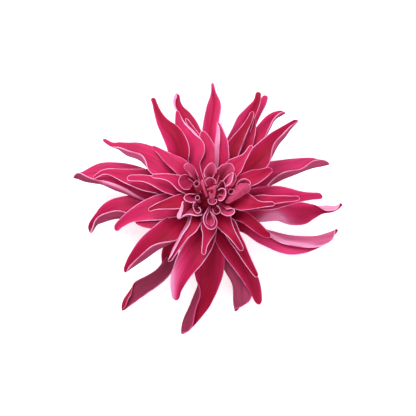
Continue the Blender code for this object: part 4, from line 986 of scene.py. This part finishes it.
def green_finish():
    """Calyx green with soft lighter patches."""
    material, tree = new_finish("bract_green")
    grain = cloud(tree, 420.0, 4.0)
    return dress(material, {
        "Base Color": blend_colours(tree, spread(tree, grain, NOISE_RANGE, (0.0, 1.0)), BRACT_GREEN, BRACT_LIGHT),
        "Roughness": spread(tree, grain, NOISE_RANGE, (0.45, 0.62)),
        "Normal": bump(tree, grain, 0.2, 0.5)})


def add_floor():
    mesh = bmesh.new()
    bmesh.ops.create_grid(mesh, x_segments=1, y_segments=1, size=FLOOR_SIZE)
    white = dress(new_finish("floor_white")[0], {
        "Base Color": FLOOR_WHITE, "Roughness": 0.9, "Specular IOR Level": 0.1, "Emission Color": FLOOR_WHITE,
        "Emission Strength": FLOOR_GLOW})
    floor = object_from(mesh, "floor", [white])


def add_lamp(name, spot, power, colour):
    data = bpy.data.lights.new(name, "AREA")
    data.shape = "DISK"
    data.size = LAMP_SIZE
    data.energy = power
    data.color = colour
    lamp = placed(name, data)
    lamp.location = spot
    lamp.rotation_euler = (Vector(LAMP_AIM) - Vector(spot)).to_track_quat("-Z", "Y").to_euler()


def add_studio():
    """Plain soft studio light: a large window behind to the left, a weaker one in front, an even pale sky."""
    for lamp in LAMPS:
        add_lamp(*lamp)
    world = bpy.data.worlds.new("sky")
    world.use_nodes = True
    sky = world.node_tree.nodes["Background"]
    sky.inputs["Color"].default_value = (*SKY_WHITE, 1.0)
    sky.inputs["Strength"].default_value = SKY_STRENGTH
    scene = bpy.context.scene
    scene.world = world
    scene.view_settings.view_transform = "Standard"
    scene.view_settings.look = "None"


def add_camera():
    data = bpy.data.cameras.new("eye")
    data.lens = LENS
    data.sensor_width = SENSOR
    data.clip_start = 0.05
    data.clip_end = 20.0
    camera = placed("eye", data)
    aim = Vector((SETTLE[0], SETTLE[1], AIM_HEIGHT)) * MM
    camera.location = aim + Vector(EYE_BACK) * EYE_DISTANCE * MM
    camera.rotation_euler = (EYE_TILT, 0.0, 0.0)
    bpy.context.scene.camera = camera


def seat(piece, node_name):
    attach(piece, "root")
    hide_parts(node_name)


def main():
    add_floor()
    add_studio()
    add_camera()
    face = skin("petal_face", "tone", FACE_TONES, CRIMSON_SHADE, heart_shade_range=(6.0, 30.0), rough=0.50,
                rim_band=(0.1, 0.42), streak_depth=0.06)
    under = skin("petal_underside", "pale", UNDERSIDE_TONES, MAUVE_SHADE, heart_shade_range=(8.0, 34.0), rough=0.60,
                 rim_band=(0.2, 0.8), streak_depth=0.10)
    rim = rim_finish()
    for ring in range(len(RING_ROOTS)):
        seat(petal_ring(ring, [face, under, rim]), "bloom")
    floret_face, floret_back = [
        skin(name, "tone", FLORET_TONES, ROSE_SHADE, heart_shade_range=(-8.0, 7.0), rough=0.5, rim_band=band,
             streak_depth=0.05)
        for name, band in (("floret_face", (0.1, 0.45)), ("floret_back", (0.05, 0.3)))]
    seat(make_florets([floret_face, floret_back, rim]), "bloom")
    seat(make_receptacle(heart_shade_finish()), "bloom")
    green = green_finish()
    seat(make_stalk(green), "calyx")
    seat(make_bracts([green] * 3), "calyx")


main()
